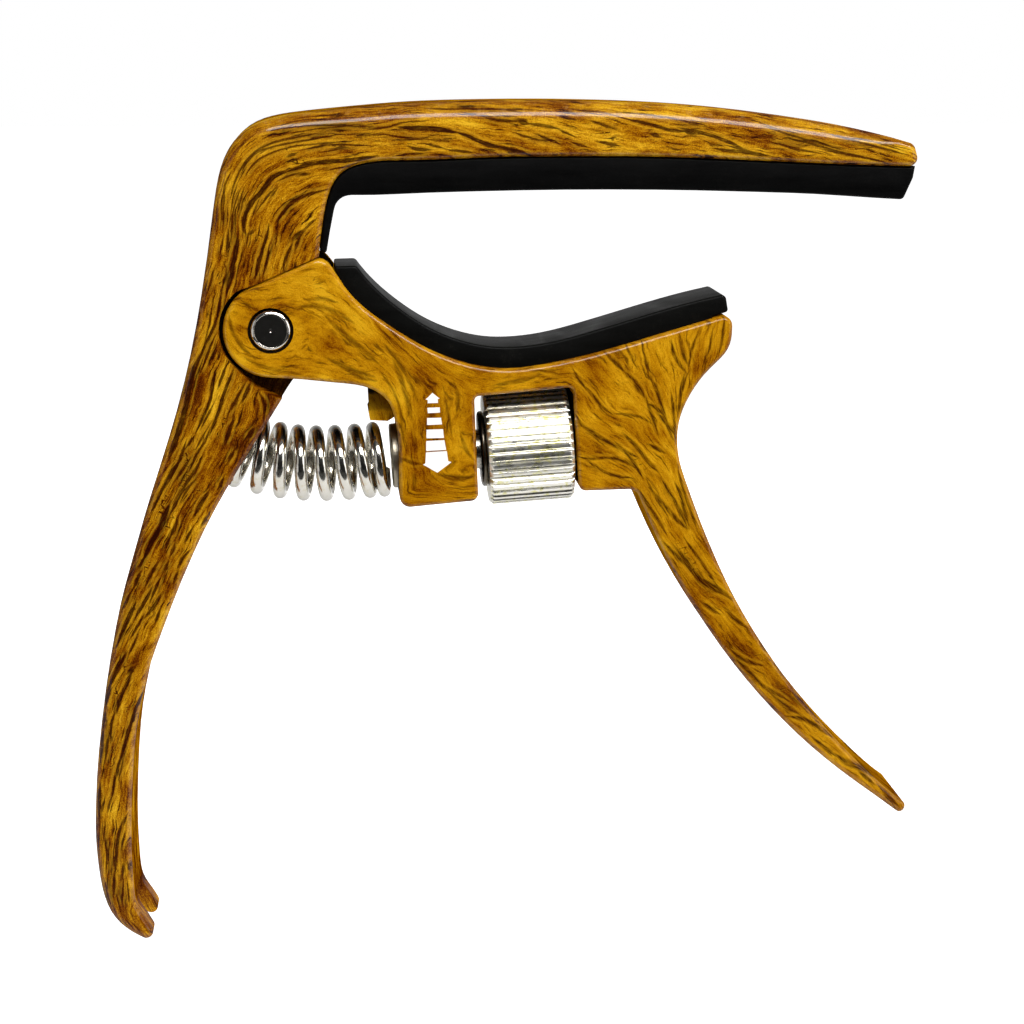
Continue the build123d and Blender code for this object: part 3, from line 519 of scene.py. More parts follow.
JAW_STREAKS = [
    (0.4, 0.45, ((2.8, 2.2), (4.1, 2.5), (5.4, 2.1), (6.7, 1.5), (7.8, 0.8))),
    (0.3, 0.5, ((3.5, 3), (5, 3.1), (6.3, 2.7))),
    (0.3, 0.5, ((5.3, 1.3), (6.7, -0.1), (7.6, -1.2))),
    (0.4, 0.45, ((6.3, 0.4), (7.6, -0.9), (8.9, -2), (10.2, -3.2))),
    (0.34, 0.6, ((5.4, -2.7), (7.1, -3.6), (8.8, -4.2), (9.7, -4.5))),
    (0.3, 0.5, ((7.1, -3.8), (8.4, -4.5), (9.9, -4.9))),
    (0.3, 0.5, ((11, -1.6), (11.9, -2.7), (12.8, -4.1), (13.4, -5.4), (13.9, -6.7))),
    (0.34, 0.5, ((11.8, -3.2), (12.5, -4.9), (13, -6.7), (13.4, -8.5))),
    (0.22, 0.5, ((10.6, -4.3), (11.7, -5.8), (12.3, -7.6), (12.5, -9.6), (12.7, -11.2))),
    (0.26, 0.5, ((-3.9, 1.6), (-3.7, 0), (-2.8, -1.5), (-1.6, -2.6))),
    (0.3, 0.45, ((-2.4, -2.6), (-0.7, -3.5), (1, -3.9), (2.7, -4.2))),
    (0.4, 0.6, ((16.2, -14.2), (17.3, -14.5), (18.4, -14.6), (19.3, -14.4))),
    (0.26, 0.6, ((12.3, -12.5), (13.4, -13), (14.2, -13.1))),
    (0.3, 0.5, ((18.2, -10.3), (18.7, -11.9), (19.3, -12.6))),
    (0.3, 0.5, ((17.6, -5.4), (18, -6.8), (17.8, -8.1))),
    (0.3, 0.5, ((12.1, -9.8), (12.3, -11.2), (12.3, -12.1))),
    (0.22, 0.4, ((16.7, -6.8), (17.1, -9), (17.3, -10.3))),
    (0.26, 0.45, ((21.3, -5.5), (23.3, -5.1), (25.3, -4.8))),
    (0.26, 0.55, ((21.5, -5.8), (22.7, -5.2), (23.9, -5.2), (25.6, -4.6))),
    (0.2, 0.5, ((25.2, -4), (26.8, -4.2), (27.8, -4.5))),
    (0.22, 0.85, ((29.1, -4), (29.8, -5.3), (30.4, -5.9))),
    (0.2, 0.8, ((29.8, -5.3), (31, -6.5), (31.9, -7.7), (32.9, -8.4))),
    (0.22, 0.85, ((29.4, -8.5), (30, -9.6), (31.3, -10.2))),
    (0.26, 0.9, ((30, -9.6), (31.3, -10.5), (32.9, -11.4), (34.2, -12.1), (35.4, -12.7))),
    (0.3, 0.8, ((32.2, -2.4), (33.3, -3.5), (34.1, -4.3))),
    (0.34, 0.9, ((34.9, -4.9), (35.5, -5.9), (36.1, -6.8))),
    (0.26, 0.9, ((34.1, -4.3), (34.9, -5.1))),
    (0.24, 0.85, ((36.3, -7), (36.6, -8), (37, -9), (37.4, -10.3))),
    (0.26, 0.85, ((36.4, -7.4), (37.2, -7.8), (38, -8.6))),
    (0.34, 0.9, ((37.4, -8.4), (38.4, -9.5), (39.1, -10.5))),
    (0.26, 0.85, ((38.9, -10.9), (38.4, -9.7), (38, -8.4), (37.4, -6.4), (36.7, -4.9))),
    (0.22, 0.9, ((39.2, -11.3), (39.1, -9.7), (38.9, -7.6), (38.7, -6.4))),
    (0.22, 0.8, ((39.4, -8.8), (39.6, -6.8), (40, -5.2), (40.4, -4.4))),
    (0.3, 0.9, ((38.7, -1.5), (38.9, -2.7), (39.4, -3.5), (40, -4.3))),
    (0.3, 0.8, ((39.7, -1.5), (39.8, -2.7), (40.2, -3.5))),
    (0.26, 0.9, ((40, -4.6), (39.7, -6), (39.5, -7.6))),
    (0.2, 0.8, ((41.2, -0.7), (40.6, -2.3), (40.4, -3.9))),
    (0.2, 0.8, ((42.7, -0.3), (42.4, -2.1), (42.2, -2.7))),
    (0.2, 0.8, ((43.8, 0.5), (43.6, -1.5), (43.4, -2.5))),
    (0.18, 0.8, ((34.1, -1.2), (34.5, -2.3), (35.3, -3.9))),
    (0.18, 0.8, ((35.7, -1), (36.1, -3.1), (36.5, -4.7))),
    (0.2, 0.7, ((33.3, -8.4), (34.3, -8.4), (36, -8.8), (36.8, -9.4))),
    (0.2, 0.85, ((29.7, -12.6), (30.9, -12.9), (32.1, -12.7), (33.3, -12.8), (34.6, -13.3), (35.4, -13.9))),
    (0.2, 0.85, ((31.1, -13.3), (32.1, -14.1), (33.4, -14.6), (35, -14.8))),
    (0.18, 0.7, ((30.5, -12.8), (31.3, -13.7))),
    (0.24, 0.9, ((33.3, -11.2), (34.6, -12.5), (35.4, -13.7), (36, -14.8))),
    (0.3, 0.9, ((34.1, -10.4), (35.4, -11.7), (36.4, -13.1), (37.5, -14.2))),
    (0.3, 0.9, ((36.7, -15.8), (38.1, -17.5), (39.4, -19), (40.4, -19.9))),
    (0.28, 0.9, ((37.9, -15), (38.9, -16.7), (39.8, -18.2), (40.4, -19.6))),
    (0.3, 0.9, ((40.6, -19.6), (40.2, -18.2), (39.8, -16.5), (39.3, -15.5))),
    (0.18, 0.8, ((36.4, -15), (37.5, -17.1), (38.5, -18.6))),
    (0.18, 0.8, ((39.5, -13.8), (39.7, -15), (40.4, -17.1), (41.5, -20.1))),
    (0.24, 0.9, ((35.6, -16), (36.7, -17.7), (37.7, -19.2), (38.4, -20.4))),
    (0.3, 0.9, ((38.2, -21.3), (39.4, -22.6), (40.7, -23.8), (41.3, -24.7))),
    (0.34, 0.9, ((39.2, -21.7), (40.5, -23.2), (41.3, -24.7))),
    (0.34, 0.9, ((41.3, -24.7), (42.4, -25.6), (43.4, -26.2), (44.5, -26.7))),
    (0.2, 0.8, ((40.2, -20.9), (41.7, -23), (42.8, -24.7), (43.6, -25.8))),
    (0.3, 0.9, ((36.6, -11.5), (37.4, -11.9), (38.1, -12.3))),
    (0.2, 0.7, ((41.8, -18), (42.5, -19.7), (43.3, -21.4))),
    (0.36, 0.9, ((40.6, -23.6), (41.7, -24.9), (43, -25.7), (44, -26.3), (45, -27.1))),
    (0.3, 0.9, ((42.2, -27.5), (43, -28.1), (43.8, -28.6))),
    (0.26, 0.8, ((44.5, -28.4), (45.6, -29.4), (46.6, -30))),
    (0.26, 0.9, ((45, -32.3), (45.9, -33.1), (47, -33.7), (48.3, -34))),
    (0.26, 0.9, ((45.7, -33.4), (47, -34.7), (48.3, -36.1), (49.6, -36.9), (50.9, -37.7))),
    (0.26, 0.8, ((48, -31.1), (48.2, -32.1), (48.8, -32.7))),
    (0.34, 0.8, ((49.4, -37.2), (51, -38.5), (52, -39.1))),
    (0.3, 0.9, ((51, -39.3), (52.6, -39.6), (54.1, -40.5), (55.5, -41.6))),
    (0.26, 0.9, ((53.4, -41.5), (54.7, -42.6), (56.1, -43.7))),
    (0.44, 0.95, ((56, -43.5), (57.1, -44.3), (59, -45.1), (60.1, -46))),
    (0.3, 0.9, ((58.5, -45.4), (59.8, -46.5))),
    (0.26, 0.8, ((60.4, -46.8), (61.7, -48.2), (62.5, -49))),
    (0.24, 0.8, ((49.3, -33.7), (50.1, -34.5), (50.9, -35.6))),
    (0.2, 0.7, ((51.4, -36.9), (53, -38.6), (54.7, -40.2))),
]

# directions only, where no strong streak runs: points
ARM_FLOW = [
    ((-5.3, 11.5), (-4.9, 14.5), (-3.9, 17.2), (-2.0, 19.2), (1.0, 20.3), (5, 20.9)),
    ((10, 20.6), (20, 21.0), (30, 20.9), (40, 20.4), (50, 19.2), (58, 17.9)),
    ((26, 16.8), (34, 16.6), (42, 16.4), (50, 16.0), (58, 15.8)),
    ((-16.5, -52), (-16.6, -56), (-16.0, -58.5), (-14.8, -60)),
    ((-15.2, -48), (-15.2, -53), (-15.0, -57)),
    ((-0.5, -5.8), (1.5, -3), (3.6, 0.5), (4.2, 4)),
    ((3.3, 8), (4.2, 10.5), (4.9, 12.5)),
]
JAW_FLOW = [
    ((-3.6, 2.4), (0, 4.3), (4, 5.9)),
    ((-3.9, -1), (-3.0, -2.9), (-0.8, -4.2), (3, -4.5)),
    ((3.2, 3.0), (6.2, 1.6), (8.6, -0.8), (11, -3.0)),
    ((3.0, 0.5), (6.0, -0.8), (9.0, -2.8), (11.5, -5.2), (12.8, -8)),
    ((13.2, -9), (13.2, -12), (13.2, -15.5)),
    ((16.5, -5), (16.6, -9), (16.6, -14)),
    ((18.9, -7), (18.9, -11), (18.9, -15)),
    ((12, -1.6), (16, -4.2), (20, -5.2), (26, -5.2), (30, -4.4)),
    ((13, -16.8), (16, -16.7), (19.3, -16.4)),
    ((31, -14.8), (33.5, -15.2), (35.6, -16.4), (37.5, -19.5)),
    ((43.9, 0.2), (43.7, -2), (42.2, -4)),
    ((50, -36), (55, -42), (60, -46.6), (64, -49.8)),
    ((38, -20), (41.5, -26.5), (45.5, -32.5), (50, -38.2), (56, -44.2)),
]


def resample(pts, step):
    p = np.asarray(pts, float)
    seg = np.linalg.norm(np.diff(p, axis=0), axis=1)
    s = np.concatenate([[0], np.cumsum(seg)])
    n = max(2, int(math.ceil(s[-1] / step)) + 1)
    t = np.linspace(0, s[-1], n)
    return np.stack([np.interp(t, s, p[:, k]) for k in (0, 1)], 1)


def smooth_line(pts, step=0.35):
    """Resampled and rounded polyline."""
    p = resample(pts, step)
    for _ in range(2):
        if len(p) > 4:
            p[1:-1] = (p[:-2] + 2 * p[1:-1] + p[2:]) / 4
    return p


def grain_field(lines, ref, where, h=0.5):
    """Two functions on the xz plane, u along the flow and v across it, both about in millimetres.
    lines: (weight, points). ref: direction that the flow never opposes. where: points that matter."""
    x0, z0 = where.min(0) - 2
    nx, nz = [int(c) for c in np.ceil((where.max(0) + 2 - (x0, z0)) / h) + 1]
    mp, mt, mw = [], [], []
    for w, pts in lines:
        p = resample(pts, 0.6)
        d = np.diff(p, axis=0)
        ln = np.linalg.norm(d, axis=1, keepdims=True)
        mp.append((p[1:] + p[:-1]) / 2)
        mt.append(d / np.maximum(ln, 1e-9))
        mw.append(np.full(len(d), w) * ln[:, 0])
    mp, mt, mw = np.concatenate(mp), np.concatenate(mt), np.concatenate(mw)
    a2 = 2 * np.arctan2(mt[:, 1], mt[:, 0])
    cs = np.stack([np.cos(a2), np.sin(a2)], 1) * mw[:, None]
    cx = x0 + (np.arange(nx - 1) + 0.5) * h
    cz = z0 + (np.arange(nz - 1) + 0.5) * h
    gx, gz = np.meshgrid(cx, cz, indexing="ij")
    cell = np.stack([gx.ravel(), gz.ravel()], 1)
    used = np.zeros((nx - 1, nz - 1), bool)
    ij = np.floor((where - (x0, z0)) / h).astype(int)
    used[np.clip(ij[:, 0], 0, nx - 2), np.clip(ij[:, 1], 0, nz - 2)] = True
    for _ in range(2):
        g = used.copy()
        g[1:] |= used[:-1]
        g[:-1] |= used[1:]
        g[:, 1:] |= used[:, :-1]
        g[:, :-1] |= used[:, 1:]
        used = g
    acc = np.zeros((len(cell), 2))
    acc[:, 0], acc[:, 1] = ref[0] ** 2 - ref[1] ** 2, 2 * ref[0] * ref[1]
    need = np.flatnonzero(used.ravel())
    for k in range(0, len(need), 2000):
        c = cell[need[k:k + 2000]]
        r2 = ((c[:, None] - mp[None]) ** 2).sum(2)
        acc[need[k:k + 2000]] = (1 / (r2 + 1.1) ** 2) @ cs
    th = np.arctan2(acc[:, 1], acc[:, 0]) / 2
    tx, tz = np.cos(th), np.sin(th)
    flip = np.where(tx * ref[0] + tz * ref[1] < 0, -1.0, 1.0)
    tx, tz = (tx * flip).reshape(nx - 1, nz - 1), (tz * flip).reshape(nx - 1, nz - 1)
    w = np.where(used, 1.0, 2e-3)

    def solve(at, ct, an, cn):
        mxx = w * (at * tx * tx + an * tz * tz)
        mxz = w * (at - an) * tx * tz
        mzz = w * (at * tz * tz + an * tx * tx)
        bx = w * (at * ct * tx - an * cn * tz)
        bz = w * (at * ct * tz + an * cn * tx)

        def gt(ax, az, bx_, bz_):
            o = np.zeros((nx, nz))
            o[1:, :-1] += ax
            o[:-1, :-1] -= ax
            o[:-1, 1:] += az
            o[:-1, :-1] -= az
            o[1:, 1:] += bx_
            o[:-1, 1:] -= bx_
            o[1:, 1:] += bz_
            o[1:, :-1] -= bz_
            return o / h

        def op(f):
            ax, az = (f[1:, :-1] - f[:-1, :-1]) / h, (f[:-1, 1:] - f[:-1, :-1]) / h
            bx_, bz_ = (f[1:, 1:] - f[:-1, 1:]) / h, (f[1:, 1:] - f[1:, :-1]) / h
            return gt(mxx * ax + mxz * az, mxz * ax + mzz * az, mxx * bx_ + mxz * bz_, mxz * bx_ + mzz * bz_)

        rhs = gt(bx, bz, bx, bz)
        diag = np.full((nx, nz), 1e-9)
        tot = (mxx + mzz) / h / h
        for sl in ((slice(1, None), slice(None, -1)), (slice(None, -1), slice(None, -1)),
                   (slice(None, -1), slice(1, None)), (slice(1, None), slice(1, None))):
            diag[sl] += tot
        f = np.zeros((nx, nz))
        r = rhs - op(f)
        z = r / diag
        p = z.copy()
        rz = (r * z).sum()
        for _ in range(900):
            q = op(p)
            al = rz / (p * q).sum()
            f += al * p
            r -= al * q
            z = r / diag
            rn = (r * z).sum()
            if rn < 1e-12 * abs(rz) + 1e-14:
                break
            p = z + p * (rn / rz)
            rz = rn
        return f

    v = solve(10.0, 0.0, 1.0, 1.0)
    u = solve(1.0, 1.0, 0.4, 0.0)

    def at(pts):
        g = (pts - (x0, z0)) / h
        i = np.clip(np.floor(g).astype(int), 0, [nx - 2, nz - 2])
        f = g - i
        out = []
        for a in (u, v):
            out.append(a[i[:, 0], i[:, 1]] * (1 - f[:, 0]) * (1 - f[:, 1]) + a[i[:, 0] + 1, i[:, 1]] * f[:, 0] * (1 - f[:, 1])
                       + a[i[:, 0], i[:, 1] + 1] * (1 - f[:, 0]) * f[:, 1] + a[i[:, 0] + 1, i[:, 1] + 1] * f[:, 0] * f[:, 1])
        return out

    return at


def sm(x, a, b):
    t = np.clip((x - a) / (b - a), 0, 1)
    return t * t * (3 - 2 * t)


def share_out(streaks, k, gap=1.25):
    """Spread the streaks over k layers so that those in one layer keep clear of each other."""
    res = [resample(s[2], 0.4) for s in streaks]
    order = sorted(range(len(streaks)), key=lambda i: -streaks[i][0] * streaks[i][1])
    groups = [[] for _ in range(k)]
    for i in order:
        best, far = 0, -1
        for g in range(k):
            d = min([np.sqrt(((res[i][:, None] - res[j][None]) ** 2).sum(2).min()) for j in groups[g]] or [99])
            if d > gap:
                best = g
                break
            if d > far:
                best, far = g, d
        groups[best].append(i)
    return groups


def streak_attribute(streaks, group, xz_, side):
    """Per point: signed distance to the nearest streak's middle, its darkness there and its half width."""
    n = len(xz_)
    best = np.full(n, 1e9)
    out = np.zeros((n, 3))
    out[:, 0] = 1.0
    out[:, 2] = 0.1
    for i in group:
        w, s, pts = streaks[i]
        p = smooth_line(pts)
        lo, hi = p.min(0) - 1.6, p.max(0) + 1.6
        near = np.flatnonzero(((xz_ > lo) & (xz_ < hi)).all(1))
        if not len(near):
            continue
        q = xz_[near]
        a, b = p[:-1], p[1:]
        d = b - a
        ln = np.linalg.norm(d, axis=1)
        t = ((q[:, None] - a[None]) * d[None]).sum(2) / (ln ** 2)[None]
        tc = np.clip(t, 0, 1)
        foot = a[None] + tc[..., None] * d[None]
        dist = np.sqrt(((q[:, None] - foot) ** 2).sum(2))
        k = dist.argmin(1)
        r = np.arange(len(q))
        dist = dist[r, k]
        cum = np.concatenate([[0], np.cumsum(ln)])
        along = cum[k] + np.where((k == 0) & (t[r, k] < 0) | (k == len(ln) - 1) & (t[r, k] > 1), t[r, k], tc[r, k]) * ln[k]
        e = d[k] / ln[k][:, None]
        signed = e[:, 0] * (q - a[k])[:, 1] - e[:, 1] * (q - a[k])[:, 0]
        total = cum[-1]
        tip = np.minimum(along, total - along)
        fade = sm(tip, -0.35, 0.25)
        half = 0.5 * w * (0.45 + 0.55 * sm(tip, 0.0, min(1.2, total * 0.35)))
        take = dist < best[near]
        idx = near[take]
        best[idx] = dist[take]
        out[idx, 0] = np.clip(signed[take], -1.2, 1.2)
        out[idx, 1] = s * fade[take] * (1 - sm(np.abs(signed[take]), 0.62, 0.9))
        out[idx, 2] = half[take]
    out[:, 1] *= side
    return out


def set_attr(me, name, kind, values):
    a = me.attributes.new(name, kind, "POINT")
    a.data.foreach_set("vector" if kind == "FLOAT_VECTOR" else "value", np.asarray(values, np.float32).ravel())


LAYERS = 6

# ---- the bar's top and the bend are rounded over more fully than the rest of the outline
OUTER = [(60.4, 17.98), (58.6, 18.45), (54.5, 19.34), (49.2, 20.18), (43.7, 20.85), (38.3, 21.3), (33.0, 21.55),
         (26.8, 21.68), (20.4, 21.65), (13.7, 21.45), (7.9, 21.0), (3.4, 20.55), (1.0, 20.2), (-1.1, 19.55),
         (-2.6, 18.5), (-3.7, 17.1), (-4.5, 15.2), (-5.05, 12.6), (-5.5, 9.6), (-6.1, 5.8), (-6.8, 1.9)]
OUT_R = [0.7, 1.3, 1.8, 1.9, 1.9, 1.9, 1.9, 1.9, 1.9, 1.8, 1.7, 1.55, 1.45, 1.35, 1.25, 1.15, 1.0, 0.85, 0.7, 0.66, 0.65]


def cubic(pts, vals, n=12):
    """Catmull-Rom line through pts with vals carried along."""
    p = np.column_stack([pts, vals])
    p = np.vstack([2 * p[0] - p[1], p, 2 * p[-1] - p[-2]])
    t = np.linspace(0, 1, n, endpoint=False)[:, None]
    out = [0.5 * (2 * p[i] + (p[i + 1] - p[i - 1]) * t + (2 * p[i - 1] - 5 * p[i] + 4 * p[i + 1] - p[i + 2]) * t * t
                  + (3 * p[i] - p[i - 1] - 3 * p[i + 1] + p[i + 2]) * t ** 3) for i in range(1, len(p) - 2)]
    return np.vstack(out + [p[-2:-1]])


def round_over(pt, nr):
    line = cubic(OUTER, OUT_R)
    a, b = line[:-1, :2], line[1:, :2]
    d = b - a
    ln = np.linalg.norm(d, axis=1)
    nrm = np.stack([-d[:, 1], d[:, 0]], 1) / ln[:, None]           # inward for this direction of travel
    nrm = -nrm if (nrm[0] @ (np.array([55.0, 17.0]) - a[0])) < 0 else nrm
    near = np.flatnonzero((pt[:, 2] > 0.5) & (pt[:, 0] < 61.2))
    new_p, new_n = pt.copy(), nr.copy()
    for k in range(0, len(near), 20000):
        idx = near[k:k + 20000]
        q = pt[idx][:, (0, 2)]
        t = ((q[:, None] - a[None]) * d[None]).sum(2) / (ln ** 2)[None]
        tc = np.clip(t, 0, 1)
        f = a[None] + tc[..., None] * d[None]
        j = ((q[:, None] - f) ** 2).sum(2).argmin(1)
        r = np.arange(len(idx))
        inside = t[r, j]
        ok = ~(((j == 0) & (inside < 0)) | ((j == len(ln) - 1) & (inside > 1)))
        n2 = nrm[j]
        s = np.maximum(((q - f[r, j]) * n2).sum(1), 0)
        rad = line[j, 2] * (1 - tc[r, j]) + line[j + 1, 2] * tc[r, j]
        hit = ok & (s < rad)
        lim = H - rad + np.sqrt(np.maximum(rad ** 2 - (rad - s) ** 2, 0))
        y = pt[idx, 1]
        edge = hit & (np.abs(y) > H - rad - 0.05) & (np.abs(y) > 2.9)
        yy = np.where(edge, np.sign(y) * np.minimum(np.abs(y), lim), y)
        new_p[idx, 1] = yy
        c = (rad - s) / rad
        up = np.sqrt(np.maximum(1 - c ** 2, 0)) * np.sign(y)
        nn = np.stack([-n2[:, 0] * c, up, -n2[:, 1] * c], 1)
        new_n[idx[edge]] = nn[edge]
    return new_p, new_n


def bare_and_shade_arm(p):
    """1 where the arm shows the bare black casting instead of film, which also stands as painted shade: recess floors,
    spring pocket, bore.
    """
    x, y, z = p.T
    r = np.hypot(x, z)
    floor = (np.abs(y) < 2.75) & (r < 9.5) & (x > -5.2) & (z < 8.3) & (z > -7.6)
    a = math.radians(-27.5)
    sx, sz = x + 6.35, z + 10.95
    al, ac = sx * math.cos(a) + sz * math.sin(a), -sx * math.sin(a) + sz * math.cos(a)
    pocket = (al > -0.05) & (np.hypot(ac, y) < 4.15)
    return np.where(pocket, 1.0, np.where(floor, np.where(z < -3.8, 0.54, 1.0), 0.0))


def bare_and_shade_jaw(p):
    """1 where the jaw shows the bare black casting instead of film, which also stands as painted shade: window walls,
    slot, web, bores; under the ear it is painted shade only.
    """
    x, y, z = p.T
    ay = np.abs(y)
    window = (ay < 4.62) & (x > 19.2) & (x < 30.4) & (z > -17.2) & (z < -5.2)
    slot = (ay < 2.95) & (x < 9.25)
    web = (ay < 2.66) & (x < 12.9) & (z < -4.9) & (z > -9.4)
    ta = math.radians(3.8)
    ac = -(x - 25.088) * math.sin(ta) + (z + 12.231) * math.cos(ta)
    bore = (np.hypot(ac, y) < 3.5) & (x > 11) & (x < 39)
    pin = (np.hypot(x, z) < 2.25) & (ay < 5.1)
    # painted shade: the underside of the ear is darkened as if it lay in shadow
    shade_under_ear = sm(z, -4.3, -4.75) * sm(x, 11.6, 9.5) * (z > -6.6) * sm(ay, 5.0, 4.5) * 0.75
    channel = (ay < 4.52) & (x > 6.0) & (x < 43.2) & (z > -5.2)
    hard = window | slot | bore | pin
    return np.maximum(np.maximum(np.where(hard, 1.0, 0.0), shade_under_ear), np.where(web, 0.5 * np.clip((z + 9.4) / 1.4, 0, 1), 0.0))


def casting(node, name, streaks, flow, ref, body, bare_and_shade, edit=None):
    o = dense_copy(node, name, 0.5, edit)
    me = o.data
    co = np.zeros(len(me.vertices) * 3)
    me.vertices.foreach_get("co", co)
    p = local(co.reshape(-1, 3))
    q = p[:, (0, 2)]
    lines = [(w * s * 4, pts) for w, s, pts in streaks] + [(0.7, pts) for pts in flow]
    u, v = grain_field(lines, np.array(ref) / np.linalg.norm(ref), q)(q)
    set_attr(me, "grain", "FLOAT_VECTOR", np.stack([u, v, p[:, 1]], 1))
    set_attr(me, "bare_and_shade", "FLOAT", bare_and_shade(p))
    set_attr(me, "deep", "FLOAT", 1.0 - np.clip((p[:, 2] - 9.0) / 8.0, 0, 1) - 0.75 * np.clip((-30.0 - p[:, 2]) / 12.0, 0, 1) if body == "upper_arm" else
             0.7 * np.clip((-14.0 - p[:, 2]) / 10.0, 0, 1) * (p[:, 0] > 33) - 0.8 * np.clip((13.0 - p[:, 0]) / 8.0, 0, 1))
    side = sm(np.abs(p[:, 1]), 1.2, 4.4)
    for k, g in enumerate(share_out(streaks, LAYERS)):
        set_attr(me, f"streak{k}", "FLOAT_VECTOR", streak_attribute(streaks, g, q, side))
    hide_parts(node)
    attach(o, body)
    return o


def film(name, seed, tones, streaky, blotch, contrast, soft):
    """Glossy wood-print film over a casting: flow-following fibres, darker pores, listed streaks,
    clear top coat, rubbed edges."""
    g = Mat(name)
    u, v, y = g.xyz(g.attr("grain"))
    p = g.pos()
    warp = g.sub(g.noise(p, 0.35, 2), 0.5)
    warp2 = g.sub(g.noise(p, 1.6, 2), 0.5)
    v = g.add(g.add(v, g.mul(y, 0.55)), g.add(g.mul(warp, 0.75), g.mul(warp2, 0.13)))
    broad = g.noise(g.vec(g.mul(u, 0.085), g.mul(v, 0.42), seed), 1, 3, 0.55)
    band = g.noise(g.vec(g.mul(u, 0.16), g.mul(v, 1.3), seed + 3), 1, 3, 0.6)
    fibre = g.noise(g.vec(g.mul(u, 0.42), g.mul(v, 4.6), seed + 5), 1, 3, 0.62)
    fine = g.noise(g.vec(g.mul(u, 1.5), g.mul(v, 12.0), seed + 7), 1, 2, 0.6)
    cloud = g.noise(p, 0.30, 2, 0.5)
    speck = g.noise(p, 9.0, 2, 0.7)
    tone = g.add(g.add(g.mul(broad, 0.34), g.mul(band, 0.30)), g.add(g.mul(fibre, 0.22), g.mul(fine, 0.15)))
    tone = g.add(g.add(tone, g.mul(g.sub(cloud, 0.5), blotch)), g.mul(g.sub(speck, 0.5), 0.26))
    deep = g.new("ShaderNodeAttribute", attribute_name="deep").outputs["Fac"]
    tone = g.sub(g.add(g.mul(g.sub(tone, 0.50), contrast), 0.5), g.mul(deep, 0.13))
    col = g.ramp(tone, tones)
    # pores: long thin dark lines, thicker where the broad tone is dark
    gate = g.step(broad, 0.62, 0.38)
    pores = g.step(fibre, g.sub(0.47, g.mul(g.sub(0.5, gate), 0.10)), 0.36)
    pores = g.mul(pores, g.step(g.noise(g.vec(g.mul(u, 0.3), g.mul(v, 1.1), seed + 11), 1, 2), 0.36, 0.56))
    pores2 = g.step(fine, 0.40, 0.29)
    dark = g.top(g.mul(pores, streaky), g.mul(pores2, 0.6 * streaky))
    halo = None
    wob = g.sub(g.noise(g.vec(g.mul(u, 0.9), g.mul(v, 3.0), seed + 13), 1, 3, 0.65), 0.5)
    brk = g.noise(g.vec(g.mul(u, 1.1), g.mul(v, 6.0), seed + 17), 1, 2, 0.6)
    split = g.step(g.noise(g.vec(g.mul(u, 0.7), g.mul(v, 6.5), seed + 19), 1, 2, 0.6), 0.36, 0.58, 1.0 - 0.5 * soft, 1.0)
    for k in range(LAYERS):
        d, s, w = g.xyz(g.attr(f"streak{k}"))
        dd = g.math("ABSOLUTE", g.add(d, g.mul(wob, 0.20)))
        core = g.step(dd, g.mul(w, 1.30 + 0.7 * soft), g.mul(w, 1.10 - 0.6 * soft))
        core = g.mul(g.mul(core, split), g.mul(g.math("POWER", s, 0.55), g.step(brk, 0.22, 0.5, 0.62, 1.0)))
        ring = g.mul(s, g.mul(g.step(dd, g.mul(w, 1.6), g.mul(w, 2.3)), g.step(dd, g.add(w, 0.42), g.add(w, 0.26))))
        dark = g.top(dark, core)
        halo = ring if halo is None else g.top(halo, ring)
    col = g.mix(g.mul(halo, 0.28), col, tones[-1][1])
    col = g.mix(g.mul(dark, 0.96), col, g.mix(speck, srgb(18, 1, 0), srgb(50, 13, 0)))
    # rubbed edges: the film is thinner and paler on the tight roundings
    ny = g.math("ABSOLUTE", g.xyz(g.normal())[1])
    edge = g.mul(g.step(ny, 0.15, 0.55), g.step(ny, 0.98, 0.75))
    worn = g.mul(edge, g.step(g.noise(p, 1.3, 3, 0.7), 0.56, 0.66))
    col = g.mix(g.mul(worn, 0.22), col, srgb(206, 160, 92))
    # the bare black-coated casting shows inside recesses, where the film ends; this black is also painted shade in the
    # recesses, the window, the slot, the web and under the ear
    bare_and_shade = g.new("ShaderNodeAttribute", attribute_name="bare_and_shade").outputs["Fac"]
    col = g.mix(g.step(bare_and_shade, 0.35, 0.65), col, g.mix(speck, srgb(9, 6, 3), srgb(30, 20, 9)))
    rough = g.add(0.30, g.add(g.mul(g.sub(cloud, 0.5), 0.12), g.mul(worn, 0.15)))
    height = g.add(g.mul(dark, -1.0), g.add(g.mul(fibre, 0.5), g.mul(speck, 0.15)))
    # the film's gloss dies away at glancing angles
    face = g.new("ShaderNodeLayerWeight").outputs["Facing"]
    coat = g.step(face, 0.40, 0.85, 0.6, 0.0)
    spec = g.step(face, 0.45, 0.85, 0.06, 0.0)
    return g.done(Base_Color=col, Roughness=rough, Specular_IOR_Level=spec, Coat_Weight=coat, Coat_Roughness=0.09,
                  Coat_IOR=1.45, Normal=g.bump(height, 0.25, 0.012))


GOLD = [(0.12, srgb(64, 20, 0)), (0.32, srgb(118, 60, 0)), (0.50, srgb(158, 100, 4)), (0.66, srgb(192, 134, 12)),
        (0.90, srgb(226, 176, 36))]
AMBER = [(0.10, srgb(86, 38, 0)), (0.30, srgb(134, 76, 0)), (0.50, srgb(168, 111, 4)), (0.66, srgb(188, 130, 7)),
         (0.90, srgb(216, 162, 24))]
arm = casting("upper_arm", "arm_film", ARM_STREAKS, ARM_FLOW, (1, 1), "upper_arm", bare_and_shade_arm, round_over)
jaw = casting("lower_jaw", "jaw_film", JAW_STREAKS, JAW_FLOW, (0.5, -0.87), "lower_jaw", bare_and_shade_jaw)
paint(arm, film("wood_film_arm", 1.0, GOLD, 1.0, 0.18, 3.3, 0.25))
paint(jaw, film("wood_film_jaw", 21.0, AMBER, 0.7, 0.34, 2.7, 1.0))


